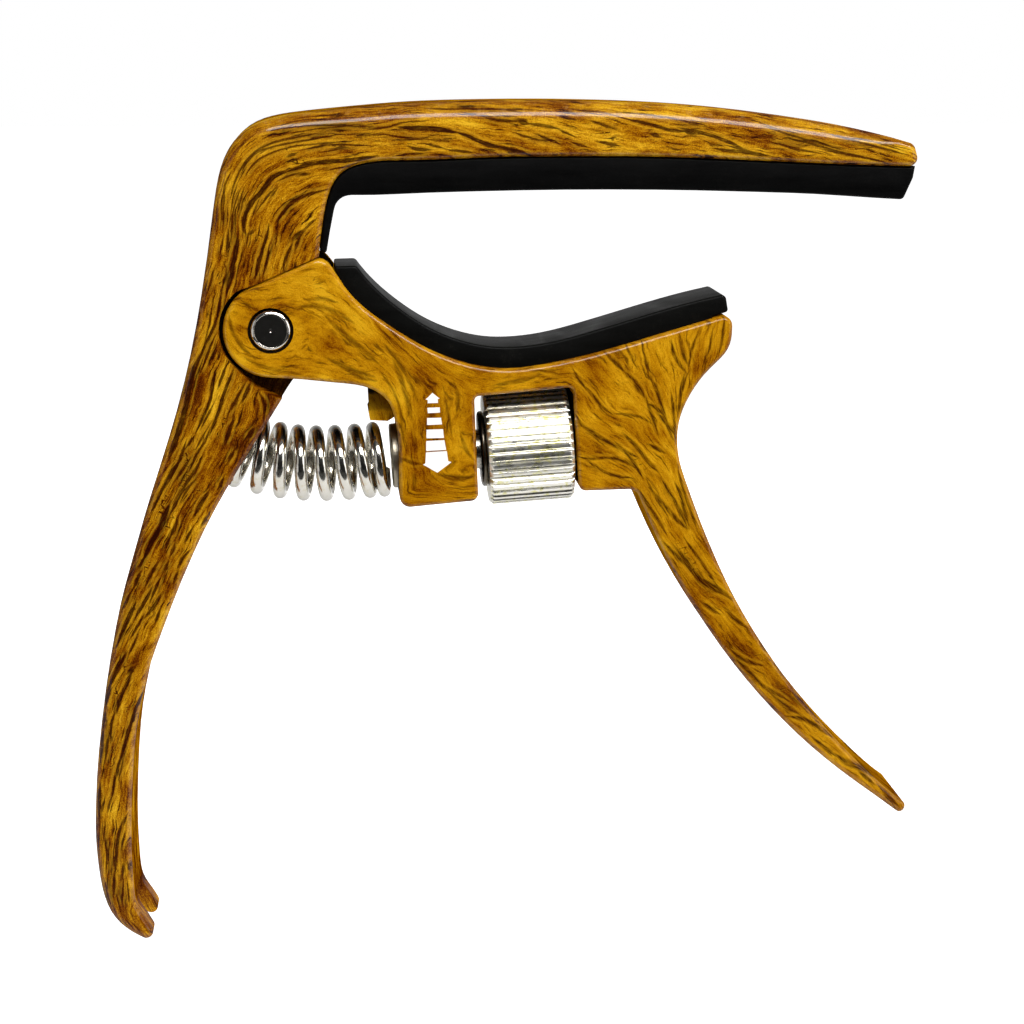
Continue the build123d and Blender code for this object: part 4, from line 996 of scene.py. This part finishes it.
# ================================================================== rubber pads
def soft_pad(node, name, width):
    """The pad's outline with its moulded edges rolled over, as one closed mesh."""
    src = NODES[node].data
    bm = bmesh.new()
    bm.from_mesh(src)
    bmesh.ops.remove_doubles(bm, verts=bm.verts, dist=2e-7)
    bmesh.ops.dissolve_limit(bm, angle_limit=math.radians(0.4), verts=bm.verts, edges=bm.edges)
    edges = [e for e in bm.edges if len(e.link_faces) == 2 and e.calc_face_angle(0) > math.radians(38)]
    bmesh.ops.bevel(bm, geom=edges, offset=width * MM, segments=4, profile=0.5, affect="EDGES", clamp_overlap=True)
    bmesh.ops.triangulate(bm, faces=[f for f in bm.faces if len(f.verts) > 4])
    for f in bm.faces:
        f.smooth = True
    for e in bm.edges:
        e.smooth = not (len(e.link_faces) == 2 and e.calc_face_angle(0) > math.radians(30))
    me = bpy.data.meshes.new(name)
    bm.to_mesh(me)
    bm.free()
    o = bpy.data.objects.new(name, me)
    scene.collection.objects.link(o)
    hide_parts(node)
    return o


def rubber(name, seed, base, sheen):
    """Moulded black rubber: fine pitting, faint flow marks, dust, and a painted highlight on the upward faces."""
    g = Mat(name)
    p = g.pos()
    pit = g.voronoi(p, 5.0)
    fine = g.noise(p, 14.0, 3, 0.65)
    flow = g.noise(g.vec(g.mul(g.xyz(p)[0], 0.12), g.mul(g.xyz(p)[1], 0.5), g.add(g.mul(g.xyz(p)[2], 0.9), seed)), 1, 3, 0.6)
    dust = g.mul(g.step(g.noise(p, 0.8, 4, 0.7), 0.52, 0.72), g.step(fine, 0.45, 0.75))
    col = g.mix(flow, srgb(*[max(0, c - 5) for c in base]), srgb(*[c + 7 for c in base]))
    col = g.mix(g.mul(dust, sheen), col, srgb(96, 92, 80))
    # painted reflection: faces turned upward are lightened towards grey, as if mirroring the pale backdrop
    up = g.step(g.xyz(g.normal())[2], 0.55, 0.95)
    col = g.mix(g.mul(up, 0.12), col, srgb(40, 39, 32))
    rough = g.add(0.42, g.add(g.mul(g.sub(flow, 0.5), 0.2), g.mul(dust, 0.25)))
    h = g.add(g.mul(g.step(pit, 0.0, 0.35), 0.5), g.add(g.mul(fine, 0.6), g.mul(flow, 0.8)))
    return g.done(Base_Color=col, Roughness=rough, Specular_IOR_Level=0.07, Normal=g.bump(h, 0.5, 0.02))


pad_s = soft_pad("string_pad", "string_pad_rubber", 0.16)
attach(pad_s, "upper_arm")
paint(pad_s, rubber("rubber_string_pad", 2.0, (3, 3, 3), 0.02))
pad_n = soft_pad("neck_pad", "neck_pad_rubber", 0.34)
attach(pad_n, "lower_jaw")
paint(pad_n, rubber("rubber_neck_pad", 9.0, (7, 7, 6), 0.10))

# ================================================================== metals
def metal(name, col, col2, rough, seed=0.0, scale=1.0, aniso=None, painted_glint=None, painted_glint_amount=0.0):
    g = Mat(name)
    p = g.pos()
    cloud = g.noise(p, 0.7 * scale, 4, 0.6)
    fine = g.noise(p, 11.0 * scale, 3, 0.7)
    scr = g.noise(p if aniso is None else aniso(g, p), 1.0, 2, 0.5)
    c = g.mix(g.add(g.mul(cloud, 0.6), g.mul(scr, 0.4)), col, col2)
    # painted reflection: yellow-green patches stand in for the gold film mirrored in the metal
    if painted_glint:
        c = g.mix(g.mul(g.step(g.noise(p, 1.7 * scale, 3, 0.6, 0.4), 0.5, 0.68), painted_glint_amount), c, painted_glint)
    r = g.add(rough, g.add(g.mul(g.sub(cloud, 0.5), rough * 0.7), g.mul(g.sub(scr, 0.5), rough * 0.8)))
    h = g.add(g.mul(scr, 0.8), g.mul(fine, 0.35))
    return g.done(Base_Color=c, Metallic=1.0, Roughness=r, Normal=g.bump(h, 0.18, 0.006))


TA = math.radians(3.8)
AX = np.array([math.cos(TA), 0.0, math.sin(TA)])
WC = np.array([25.088, 0.0, -12.231])


def along_axis(g, p):
    """Stretched along the screw axis, for drawn and knurled surfaces."""
    x, y, z = g.xyz(p)
    return g.vec(g.mul(g.add(g.mul(x, AX[0]), g.mul(z, AX[2])), 0.35), g.mul(y, 9.0), g.mul(g.sub(z, g.mul(x, 0.066)), 9.0))


# ---- pivot pin: turned, ends rolled over a flat polished face with its centre dimple
PIN_R = 2.02
HALF = H - 0.05
prof = []
for s in (-1, 1):
    pts = [(-HALF + 0.20, 0.0), (-HALF + 0.13, 0.13), (-HALF + 0.105, 0.24), (-HALF + 0.10, 0.30), (-HALF + 0.10, 1.44), (-HALF + 0.10, 1.58),
           (-HALF + 0.03, 1.61), (-HALF + 0.02, 1.64), (-HALF + 0.035, 1.69), (-HALF + 0.085, 1.79), (-HALF + 0.145, 1.885),
           (-HALF + 0.21, 1.955), (-HALF + 0.31, 2.0), (-HALF + 0.42, PIN_R)]
    prof += pts if s < 0 else [(-a, r) for a, r in reversed(pts)]
pin = lathe("pivot_pin_turned", prof, (0, 0, 0), (0, 1, 0), 128, 50)
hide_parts("pivot_pin")
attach(pin, "lower_jaw")
paint(pin, metal("steel_pin", srgb(196, 192, 184), srgb(232, 228, 220), 0.10, 3.0))

# ---- thumbwheel: straight knurl with rolled crests, chamfered ends, recessed faces
R0, DEPTH, NR, WW = 5.6, 0.28, 42, 8.34
ring_pts = []
for i in range(NR):
    a0 = 2 * math.pi * i / NR
    st = 2 * math.pi / NR
    for f, drop in ((0.00, 0.04), (0.035, 0.006), (0.16, 0.0), (0.275, -0.0), (0.39, 0.0), (0.515, 0.006), (0.55, 0.04),
                    (0.66, 0.20), (0.705, DEPTH), (0.775, DEPTH + 0.02), (0.845, DEPTH), (0.89, 0.20)):
        ring_pts.append((a0 + f * st, R0 - drop))
NP = len(ring_pts)
ends = [0.0, 0.05, 0.12, 0.20, 0.28, 0.36, 0.60]
stations = [-WW / 2 + e for e in ends] + [-2.0, 0.0, 2.0] + [WW / 2 - e for e in reversed(ends)]
E2 = np.cross(AX, (0, 1, 0))
wv, wf = [], []


def wheel_ring(s, radii):
    b = len(wv)
    for (t, _), r in zip(ring_pts, radii):
        wv.append(WC + AX * s + (np.array([0, 1.0, 0]) * math.cos(t) + E2 * math.sin(t)) * r)
    return b


loops = []
for s in stations:
    e = WW / 2 - abs(s)
    env = R0 + 0.02 - max(0.0, 0.34 - e)
    loops.append(wheel_ring(s, [min(r, env) for _, r in ring_pts]))
right = [(WW / 2, 4.55), (WW / 2, 3.58), (WW / 2 - 0.05, 3.53), (WW / 2 - 0.24, 3.50), (WW / 2 - 0.24, 2.60),
         (WW / 2 - 0.05, 2.57), (WW / 2, 2.52), (WW / 2, 2.10), (WW / 2 - 0.10, 2.0)]
for s, r in right + [(-a, b) for a, b in reversed(right)]:
    loops.append(wheel_ring(s, [r] * NP))
for i in range(len(loops)):
    a, b = loops[i], loops[(i + 1) % len(loops)]
    for k in range(NP):
        l = (k + 1) % NP
        wf.append((a + k, a + l, b + l, b + k))
wheel = from_grid("thumbwheel_knurled", rows(wv), wf, True, 32)
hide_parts("thumbwheel")
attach(wheel, "thumbwheel")
# painted reflection: yellow-green patches on the wheel stand in for the gold film mirrored in the nickel
paint(wheel, metal("nickel_wheel", srgb(236, 233, 222), srgb(252, 250, 242), 0.30, 5.0, 1.0, along_axis,
                   srgb(218, 212, 84), 0.6))

# ---- spring: round wire about the bowed centre line
A_L, A_R = math.radians(-27.5), TA
WIRE, COIL, ACTIVE, ENDS = 1.25, 6.3, 7.1, 1.0
S_D = (11.52 - WC[0]) / math.cos(TA)
C_R = (WC[0] + S_D * math.cos(TA) + 0.25 * math.sin(TA), WC[2] + S_D * math.sin(TA) - 0.25 * math.cos(TA))
B0 = np.array([-6.35 + 0.02 * math.cos(A_L), -10.95 + 0.02 * math.sin(A_L)])
B3 = np.array([C_R[0] - 0.02 * math.cos(A_R), C_R[1] - 0.02 * math.sin(A_R)])
B1 = B0 + 8.2 * np.array([math.cos(A_L), math.sin(A_L)])
B2 = B3 - 5.7 * np.array([math.cos(A_R), math.sin(A_R)])
tt = np.linspace(0, 1, 801)[:, None]
cl = (1 - tt) ** 3 * B0 + 3 * tt * (1 - tt) ** 2 * B1 + 3 * tt ** 2 * (1 - tt) * B2 + tt ** 3 * B3
dl = 3 * (1 - tt) ** 2 * (B1 - B0) + 6 * tt * (1 - tt) * (B2 - B1) + 3 * tt ** 2 * (B3 - B2)
dl /= np.linalg.norm(dl, axis=1, keepdims=True)
arc = np.concatenate([[0], np.cumsum(np.linalg.norm(np.diff(cl, axis=0), axis=1))])
TURNS = ACTIVE + 2 * ENDS
EP = WIRE * 1.03
FREE = arc[-1] - WIRE - 2 * ENDS * EP


def s_of(t):
    t = np.clip(t, 0, TURNS)
    mid = ENDS * EP + (t - ENDS) * FREE / ACTIVE
    s = np.where(t <= ENDS, t * EP, np.where(t >= ENDS + ACTIVE, ENDS * EP + FREE + (t - ENDS - ACTIVE) * EP, mid))
    return WIRE / 2 + s


SIDES, PER = 24, 64
n_st = int(round(TURNS * PER)) + 1
turn = np.linspace(0, TURNS, n_st)
s_mid = sum(s_of(turn + k * 0.1) for k in (-2, -1, 0, 1, 2)) / 5
c2 = np.stack([np.interp(s_mid, arc, cl[:, k]) for k in (0, 1)], 1)
t2 = np.stack([np.interp(s_mid, arc, dl[:, k]) for k in (0, 1)], 1)
t2 /= np.linalg.norm(t2, axis=1, keepdims=True)
ang = 2 * math.pi * turn - 0.175 * 2 * math.pi
rad = COIL / 2
mid3 = np.stack([c2[:, 0] + rad * np.sin(ang) * -t2[:, 1], rad * np.cos(ang), c2[:, 1] + rad * np.sin(ang) * t2[:, 0]], 1)
tan3 = np.gradient(mid3, axis=0)
tan3 /= np.linalg.norm(tan3, axis=1, keepdims=True)
out3 = mid3 - np.stack([c2[:, 0], np.zeros(n_st), c2[:, 1]], 1)
out3 -= tan3 * (out3 * tan3).sum(1, keepdims=True)
out3 /= np.linalg.norm(out3, axis=1, keepdims=True)
bi3 = np.cross(tan3, out3)
SPLIT = int(round((TURNS - ENDS - 1.75) * PER))


def wire_piece(name, i0, i1, flat0, flat1):
    """Closed tube over stations i0..i1, its open wire ends slightly rounded."""
    v, f = [], []
    st = []
    for i in range(i0, i1 + 1):
        st.append((mid3[i], out3[i], bi3[i], tan3[i], WIRE / 2))
    first, last = st[0], st[-1]
    seq = []
    if not flat0:
        for back, r in ((0.16, 0.40), (0.12, 0.52), (0.05, 0.60)):
            seq.append((first[0] - first[3] * (back - 0.16), first[1], first[2], first[3], r))
        seq += st[2:]
    else:
        seq += st
    if not flat1:
        seq = seq[:-2]
        for back, r in ((0.05, 0.60), (0.12, 0.52), (0.16, 0.40)):
            seq.append((last[0] + last[3] * (back - 0.16), last[1], last[2], last[3], r))
    for c, e1, e2, _, r in seq:
        for k in range(SIDES):
            a = 2 * math.pi * k / SIDES
            v.append(c + (e1 * math.cos(a) + e2 * math.sin(a)) * r)
    for i in range(len(seq) - 1):
        for k in range(SIDES):
            l = (k + 1) % SIDES
            f.append((i * SIDES + k, i * SIDES + l, (i + 1) * SIDES + l, (i + 1) * SIDES + k))
    for i, rev in ((0, True), (len(seq) - 1, False)):
        c = len(v)
        v.append(seq[i][0])
        for k in range(SIDES):
            l = (k + 1) % SIDES
            f.append((c, i * SIDES + (l if rev else k), i * SIDES + (k if rev else l)))
    ring = np.concatenate([np.repeat(np.arange(len(seq)), SIDES), [0, len(seq) - 1]])
    return from_grid(name, rows(v), f, True, 60), ring, len(seq)


spring_a, ring_a, n_a = wire_piece("spring_main_coils", 0, SPLIT, False, True)
spring_b, ring_b, n_b = wire_piece("spring_seat_coils", SPLIT, n_st - 1, True, False)
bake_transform(spring_a)
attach(spring_b, "lower_jaw")
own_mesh(spring_b)
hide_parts("spring")
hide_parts("spring")
# painted reflection: faint yellow patches on the spring stand in for the gold film mirrored in the wire
SPRING = metal("spring_wire", srgb(206, 202, 192), srgb(240, 237, 228), 0.14, 1.0, 1.0, None, srgb(190, 176, 96), 0.22)
paint(spring_a, SPRING)
paint(spring_b, SPRING)

# ---- seat disc, washers, screw
disc = lathe("seat_disc_turned", [(0.0, 1.21), (0.0, 2.9), (0.03, 3.08), (0.12, 3.18), (0.26, 3.2), (0.70, 3.2), (0.84, 3.17),
                                  (0.92, 3.07), (0.94, 2.95), (0.94, 1.21)],
             WC + AX * S_D, AX, 96, 50)
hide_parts("spring_seat_disc")
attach(disc, "adjusting_screw")
paint(disc, metal("dark_seat", srgb(128, 120, 104), srgb(176, 168, 150), 0.36))
ws = -WW / 2 - 0.62
washer = lathe("thumb_washer_turned", [(ws, 2.08), (ws, 3.45), (ws + 0.04, 3.6), (ws + 0.14, 3.72), (ws + 0.3, 3.75),
                                       (ws + 0.46, 3.72), (ws + 0.56, 3.6), (ws + 0.6, 3.45), (ws + 0.6, 2.08)],
               WC, AX, 96, 50)
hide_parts("thumb_washer")
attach(washer, "lower_jaw")
paint(washer, metal("dark_washer", srgb(46, 42, 38), srgb(120, 112, 98), 0.22))
t0 = WW / 2 + 0.02
thrust = lathe("thrust_washer_turned", [(t0, 2.08), (t0, 3.66), (t0 + 0.03, 3.73), (t0 + 0.125, 3.75), (t0 + 0.22, 3.73),
                                        (t0 + 0.25, 3.66), (t0 + 0.25, 2.08)], WC, AX, 96, 50)
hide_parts("thrust_washer")
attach(thrust, "lower_jaw")
paint(thrust, metal("dark_thrust", srgb(46, 42, 38), srgb(84, 78, 70), 0.28))
paint(NODES["adjusting_screw"], metal("screw_steel", srgb(150, 146, 138), srgb(196, 192, 182), 0.25, 2.0, 1.0, along_axis))
g = Mat("washer_nylon")
pp = g.pos()
wc = g.mix(g.noise(pp, 1.2, 4, 0.6), srgb(10, 10, 10), srgb(24, 23, 21))
wm = g.done(Base_Color=wc, Roughness=g.add(0.45, g.mul(g.noise(pp, 6.0, 3), 0.2)), Normal=g.bump(g.noise(pp, 16.0, 3), 0.4, 0.01))
for n in ("pivot_washer_front", "pivot_washer_rear"):
    paint(NODES[n], wm)

# ================================================================== printed arrows on the lug
ARROWS = {
    "tip_up": ((15.45, -6.14), (16.13, -6.71), (15.96, -6.74), (15.98, -7.13), (14.98, -7.15), (14.98, -6.80), (14.77, -6.80)),
    "bar2": ((14.95, -7.59), (16.15, -7.56), (16.17, -8.08), (14.99, -8.12)),
    "bar3": ((14.92, -8.59), (16.27, -8.58), (16.36, -9.23), (14.90, -9.28)),
    "bar4": ((14.85, -9.74), (16.45, -9.70), (16.53, -10.57), (14.84, -10.58)),
    "bar5": ((14.82, -10.85), (16.58, -10.78), (16.75, -11.74), (14.79, -11.83)),
    "tip_down": ((14.78, -11.96), (16.81, -11.86), (16.94, -12.84), (17.25, -12.96), (15.88, -13.98), (14.51, -13.17), (14.72, -13.03)),
}
g = Mat("print_white_painted_glow")
pp = g.pos()
pc = g.mix(g.noise(pp, 2.2, 4, 0.7), srgb(238, 236, 230), srgb(255, 255, 253))
pc = g.mix(g.mul(g.step(g.noise(pp, 5.5, 3, 0.75), 0.60, 0.70), 0.5), pc, srgb(214, 196, 150))
# painted glow: a faint white emission makes the printed arrows brighter than the lamps alone light them
print_glow_mat = g.done(Base_Color=pc, Roughness=g.add(0.38, g.mul(g.noise(pp, 9.0, 2), 0.2)), Emission_Color=(1, 1, 1, 1),
            Emission_Strength=0.12, Normal=g.bump(g.noise(pp, 12.0, 3), 0.25, 0.008))
for key, pts in ARROWS.items():
    v = [(x, -H - 0.004 + 0.014 * k * -1, z) for k in (0, 1) for x, z in pts]
    n = len(pts)
    c0, c1 = np.mean(pts, 0), len(v)
    f = [tuple(range(n)), tuple(range(2 * n - 1, n - 1, -1))]
    f += [(k, (k + 1) % n, n + (k + 1) % n, n + k) for k in range(n)]
    o = from_grid("print_" + key, rows(v), f, False)
    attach(o, "lower_jaw")
    paint(o, print_glow_mat)

# ================================================================== camera, floor, light
cam_d = bpy.data.cameras.new("camera")
cam_d.sensor_width = 36.0
cam_d.lens = 36.0 * 2400 / 1024
cam_d.clip_start = 0.005
cam_d.clip_end = 20
cam = bpy.data.objects.new("camera", cam_d)
scene.collection.objects.link(cam)
cam.location = P(4.685, 26.79, -234.83)
cam.rotation_euler = (P(23.579, -19.002) - cam.location).to_track_quat("-Z", "Y").to_euler()
scene.camera = cam

w = bpy.data.worlds.new("studio")
scene.world = w
w.use_nodes = True
t = w.node_tree
t.nodes.clear()


def wn(kind, **props):
    n = t.nodes.new(kind)
    for k, v in props.items():
        setattr(n, k, v)
    return n


def link(a, b):
    t.links.new(a, b)


# white all round, with a dark room behind the camera so that flat polished faces stay deep
back_dir = Vector((0.05, -1.0, 0.02)).normalized()
tc = wn("ShaderNodeTexCoord")
dot = wn("ShaderNodeVectorMath", operation="DOT_PRODUCT")
link(tc.outputs["Generated"], dot.inputs[0])
dot.inputs[1].default_value = back_dir
room = wn("ShaderNodeMapRange", interpolation_type="SMOOTHSTEP", clamp=True)
link(dot.outputs["Value"], room.inputs["Value"])
room.inputs["From Min"].default_value = 0.60
room.inputs["From Max"].default_value = 0.88
room.inputs["To Min"].default_value = 0.55
room.inputs["To Max"].default_value = 0.02
sx = wn("ShaderNodeSeparateXYZ")
link(tc.outputs["Generated"], sx.inputs[0])
lf = wn("ShaderNodeMapRange", interpolation_type="SMOOTHSTEP", clamp=True)
link(sx.outputs[0], lf.inputs["Value"])
lf.inputs["From Min"].default_value = -0.95
lf.inputs["From Max"].default_value = 0.0
lf.inputs["To Min"].default_value = 0.25
lf.inputs["To Max"].default_value = 1.0
uf = wn("ShaderNodeMapRange", interpolation_type="SMOOTHSTEP", clamp=True)
link(sx.outputs[2], uf.inputs["Value"])
uf.inputs["From Min"].default_value = 0.05
uf.inputs["From Max"].default_value = 0.65
uf.inputs["To Min"].default_value = 1.0
uf.inputs["To Max"].default_value = 0.18
lu = wn("ShaderNodeMath", operation="MULTIPLY")
link(lf.outputs[0], lu.inputs[0])
link(uf.outputs[0], lu.inputs[1])
dim = wn("ShaderNodeMath", operation="MULTIPLY")
link(room.outputs[0], dim.inputs[0])
link(lu.outputs[0], dim.inputs[1])
lp = wn("ShaderNodeLightPath")
mx = wn("ShaderNodeMix", data_type="FLOAT")
link(lp.outputs["Is Camera Ray"], mx.inputs[0])
link(dim.outputs[0], mx.inputs[2])
mx.inputs[3].default_value = 1.0
bg = wn("ShaderNodeBackground")
link(mx.outputs[0], bg.inputs["Strength"])
bg.inputs["Color"].default_value = (1, 1, 1, 1)
ow = wn("ShaderNodeOutputWorld")
link(bg.outputs[0], ow.inputs[0])

bpy.ops.mesh.primitive_plane_add(size=6.0, location=(0, 0.5, -0.075))
floor = bpy.context.object
floor.name = "floor"
g = Mat("floor_pale")
fp = g.pos()
lit = g.mix(g.new("ShaderNodeLightPath").outputs["Is Camera Ray"], (0.22, 0.22, 0.22, 1), (1, 1, 1, 1))
g.done(Base_Color=g.mix(g.noise(fp, 0.004, 3), (0.80, 0.80, 0.80, 1), (0.84, 0.84, 0.84, 1)), Roughness=0.9,
       Emission_Color=lit, Emission_Strength=1.0)
floor.data.materials.append(g.m)


# dark flag under the lens: polished flat faces mirror it, as in any shot of bright metal
card = from_grid("flag", [(-0.22, -0.085, -0.0748), (0.26, -0.085, -0.0748), (-0.22, -0.225, -0.0748), (0.26, -0.225, -0.0748),
                         (0.26, -0.225, 0.026), (-0.22, -0.225, 0.026)],
                 [(0, 2, 3, 1), (2, 5, 4, 3)], False, 32)
g = Mat("flag_cloth")
g.done(Base_Color=(0.02, 0.02, 0.02, 1), Roughness=0.9)
card.data.materials.append(g.m)
card.visible_camera = False
card.visible_shadow = False


def softbox(name, loc, size, power, size_y=None, at=(23, -15)):
    d = bpy.data.lights.new(name, "AREA")
    d.shape = "RECTANGLE" if size_y else "SQUARE"
    d.size = size
    if size_y:
        d.size_y = size_y
    d.energy = power
    o = bpy.data.objects.new(name, d)
    scene.collection.objects.link(o)
    o.location = loc
    o.rotation_euler = (P(*at) - Vector(loc)).to_track_quat("-Z", "Y").to_euler()
    return o


softbox("key", (0.09, -0.33, 0.31), 0.44, 2.6, 0.16)
softbox("right", (0.42, -0.30, 0.06), 0.22, 0.36, 0.34)
softbox("left", (-0.40, -0.34, 0.04), 0.20, 0.10, 0.34)
softbox("rear", (0.22, 0.48, 0.06), 0.42, 1.2, 0.20).visible_glossy = False
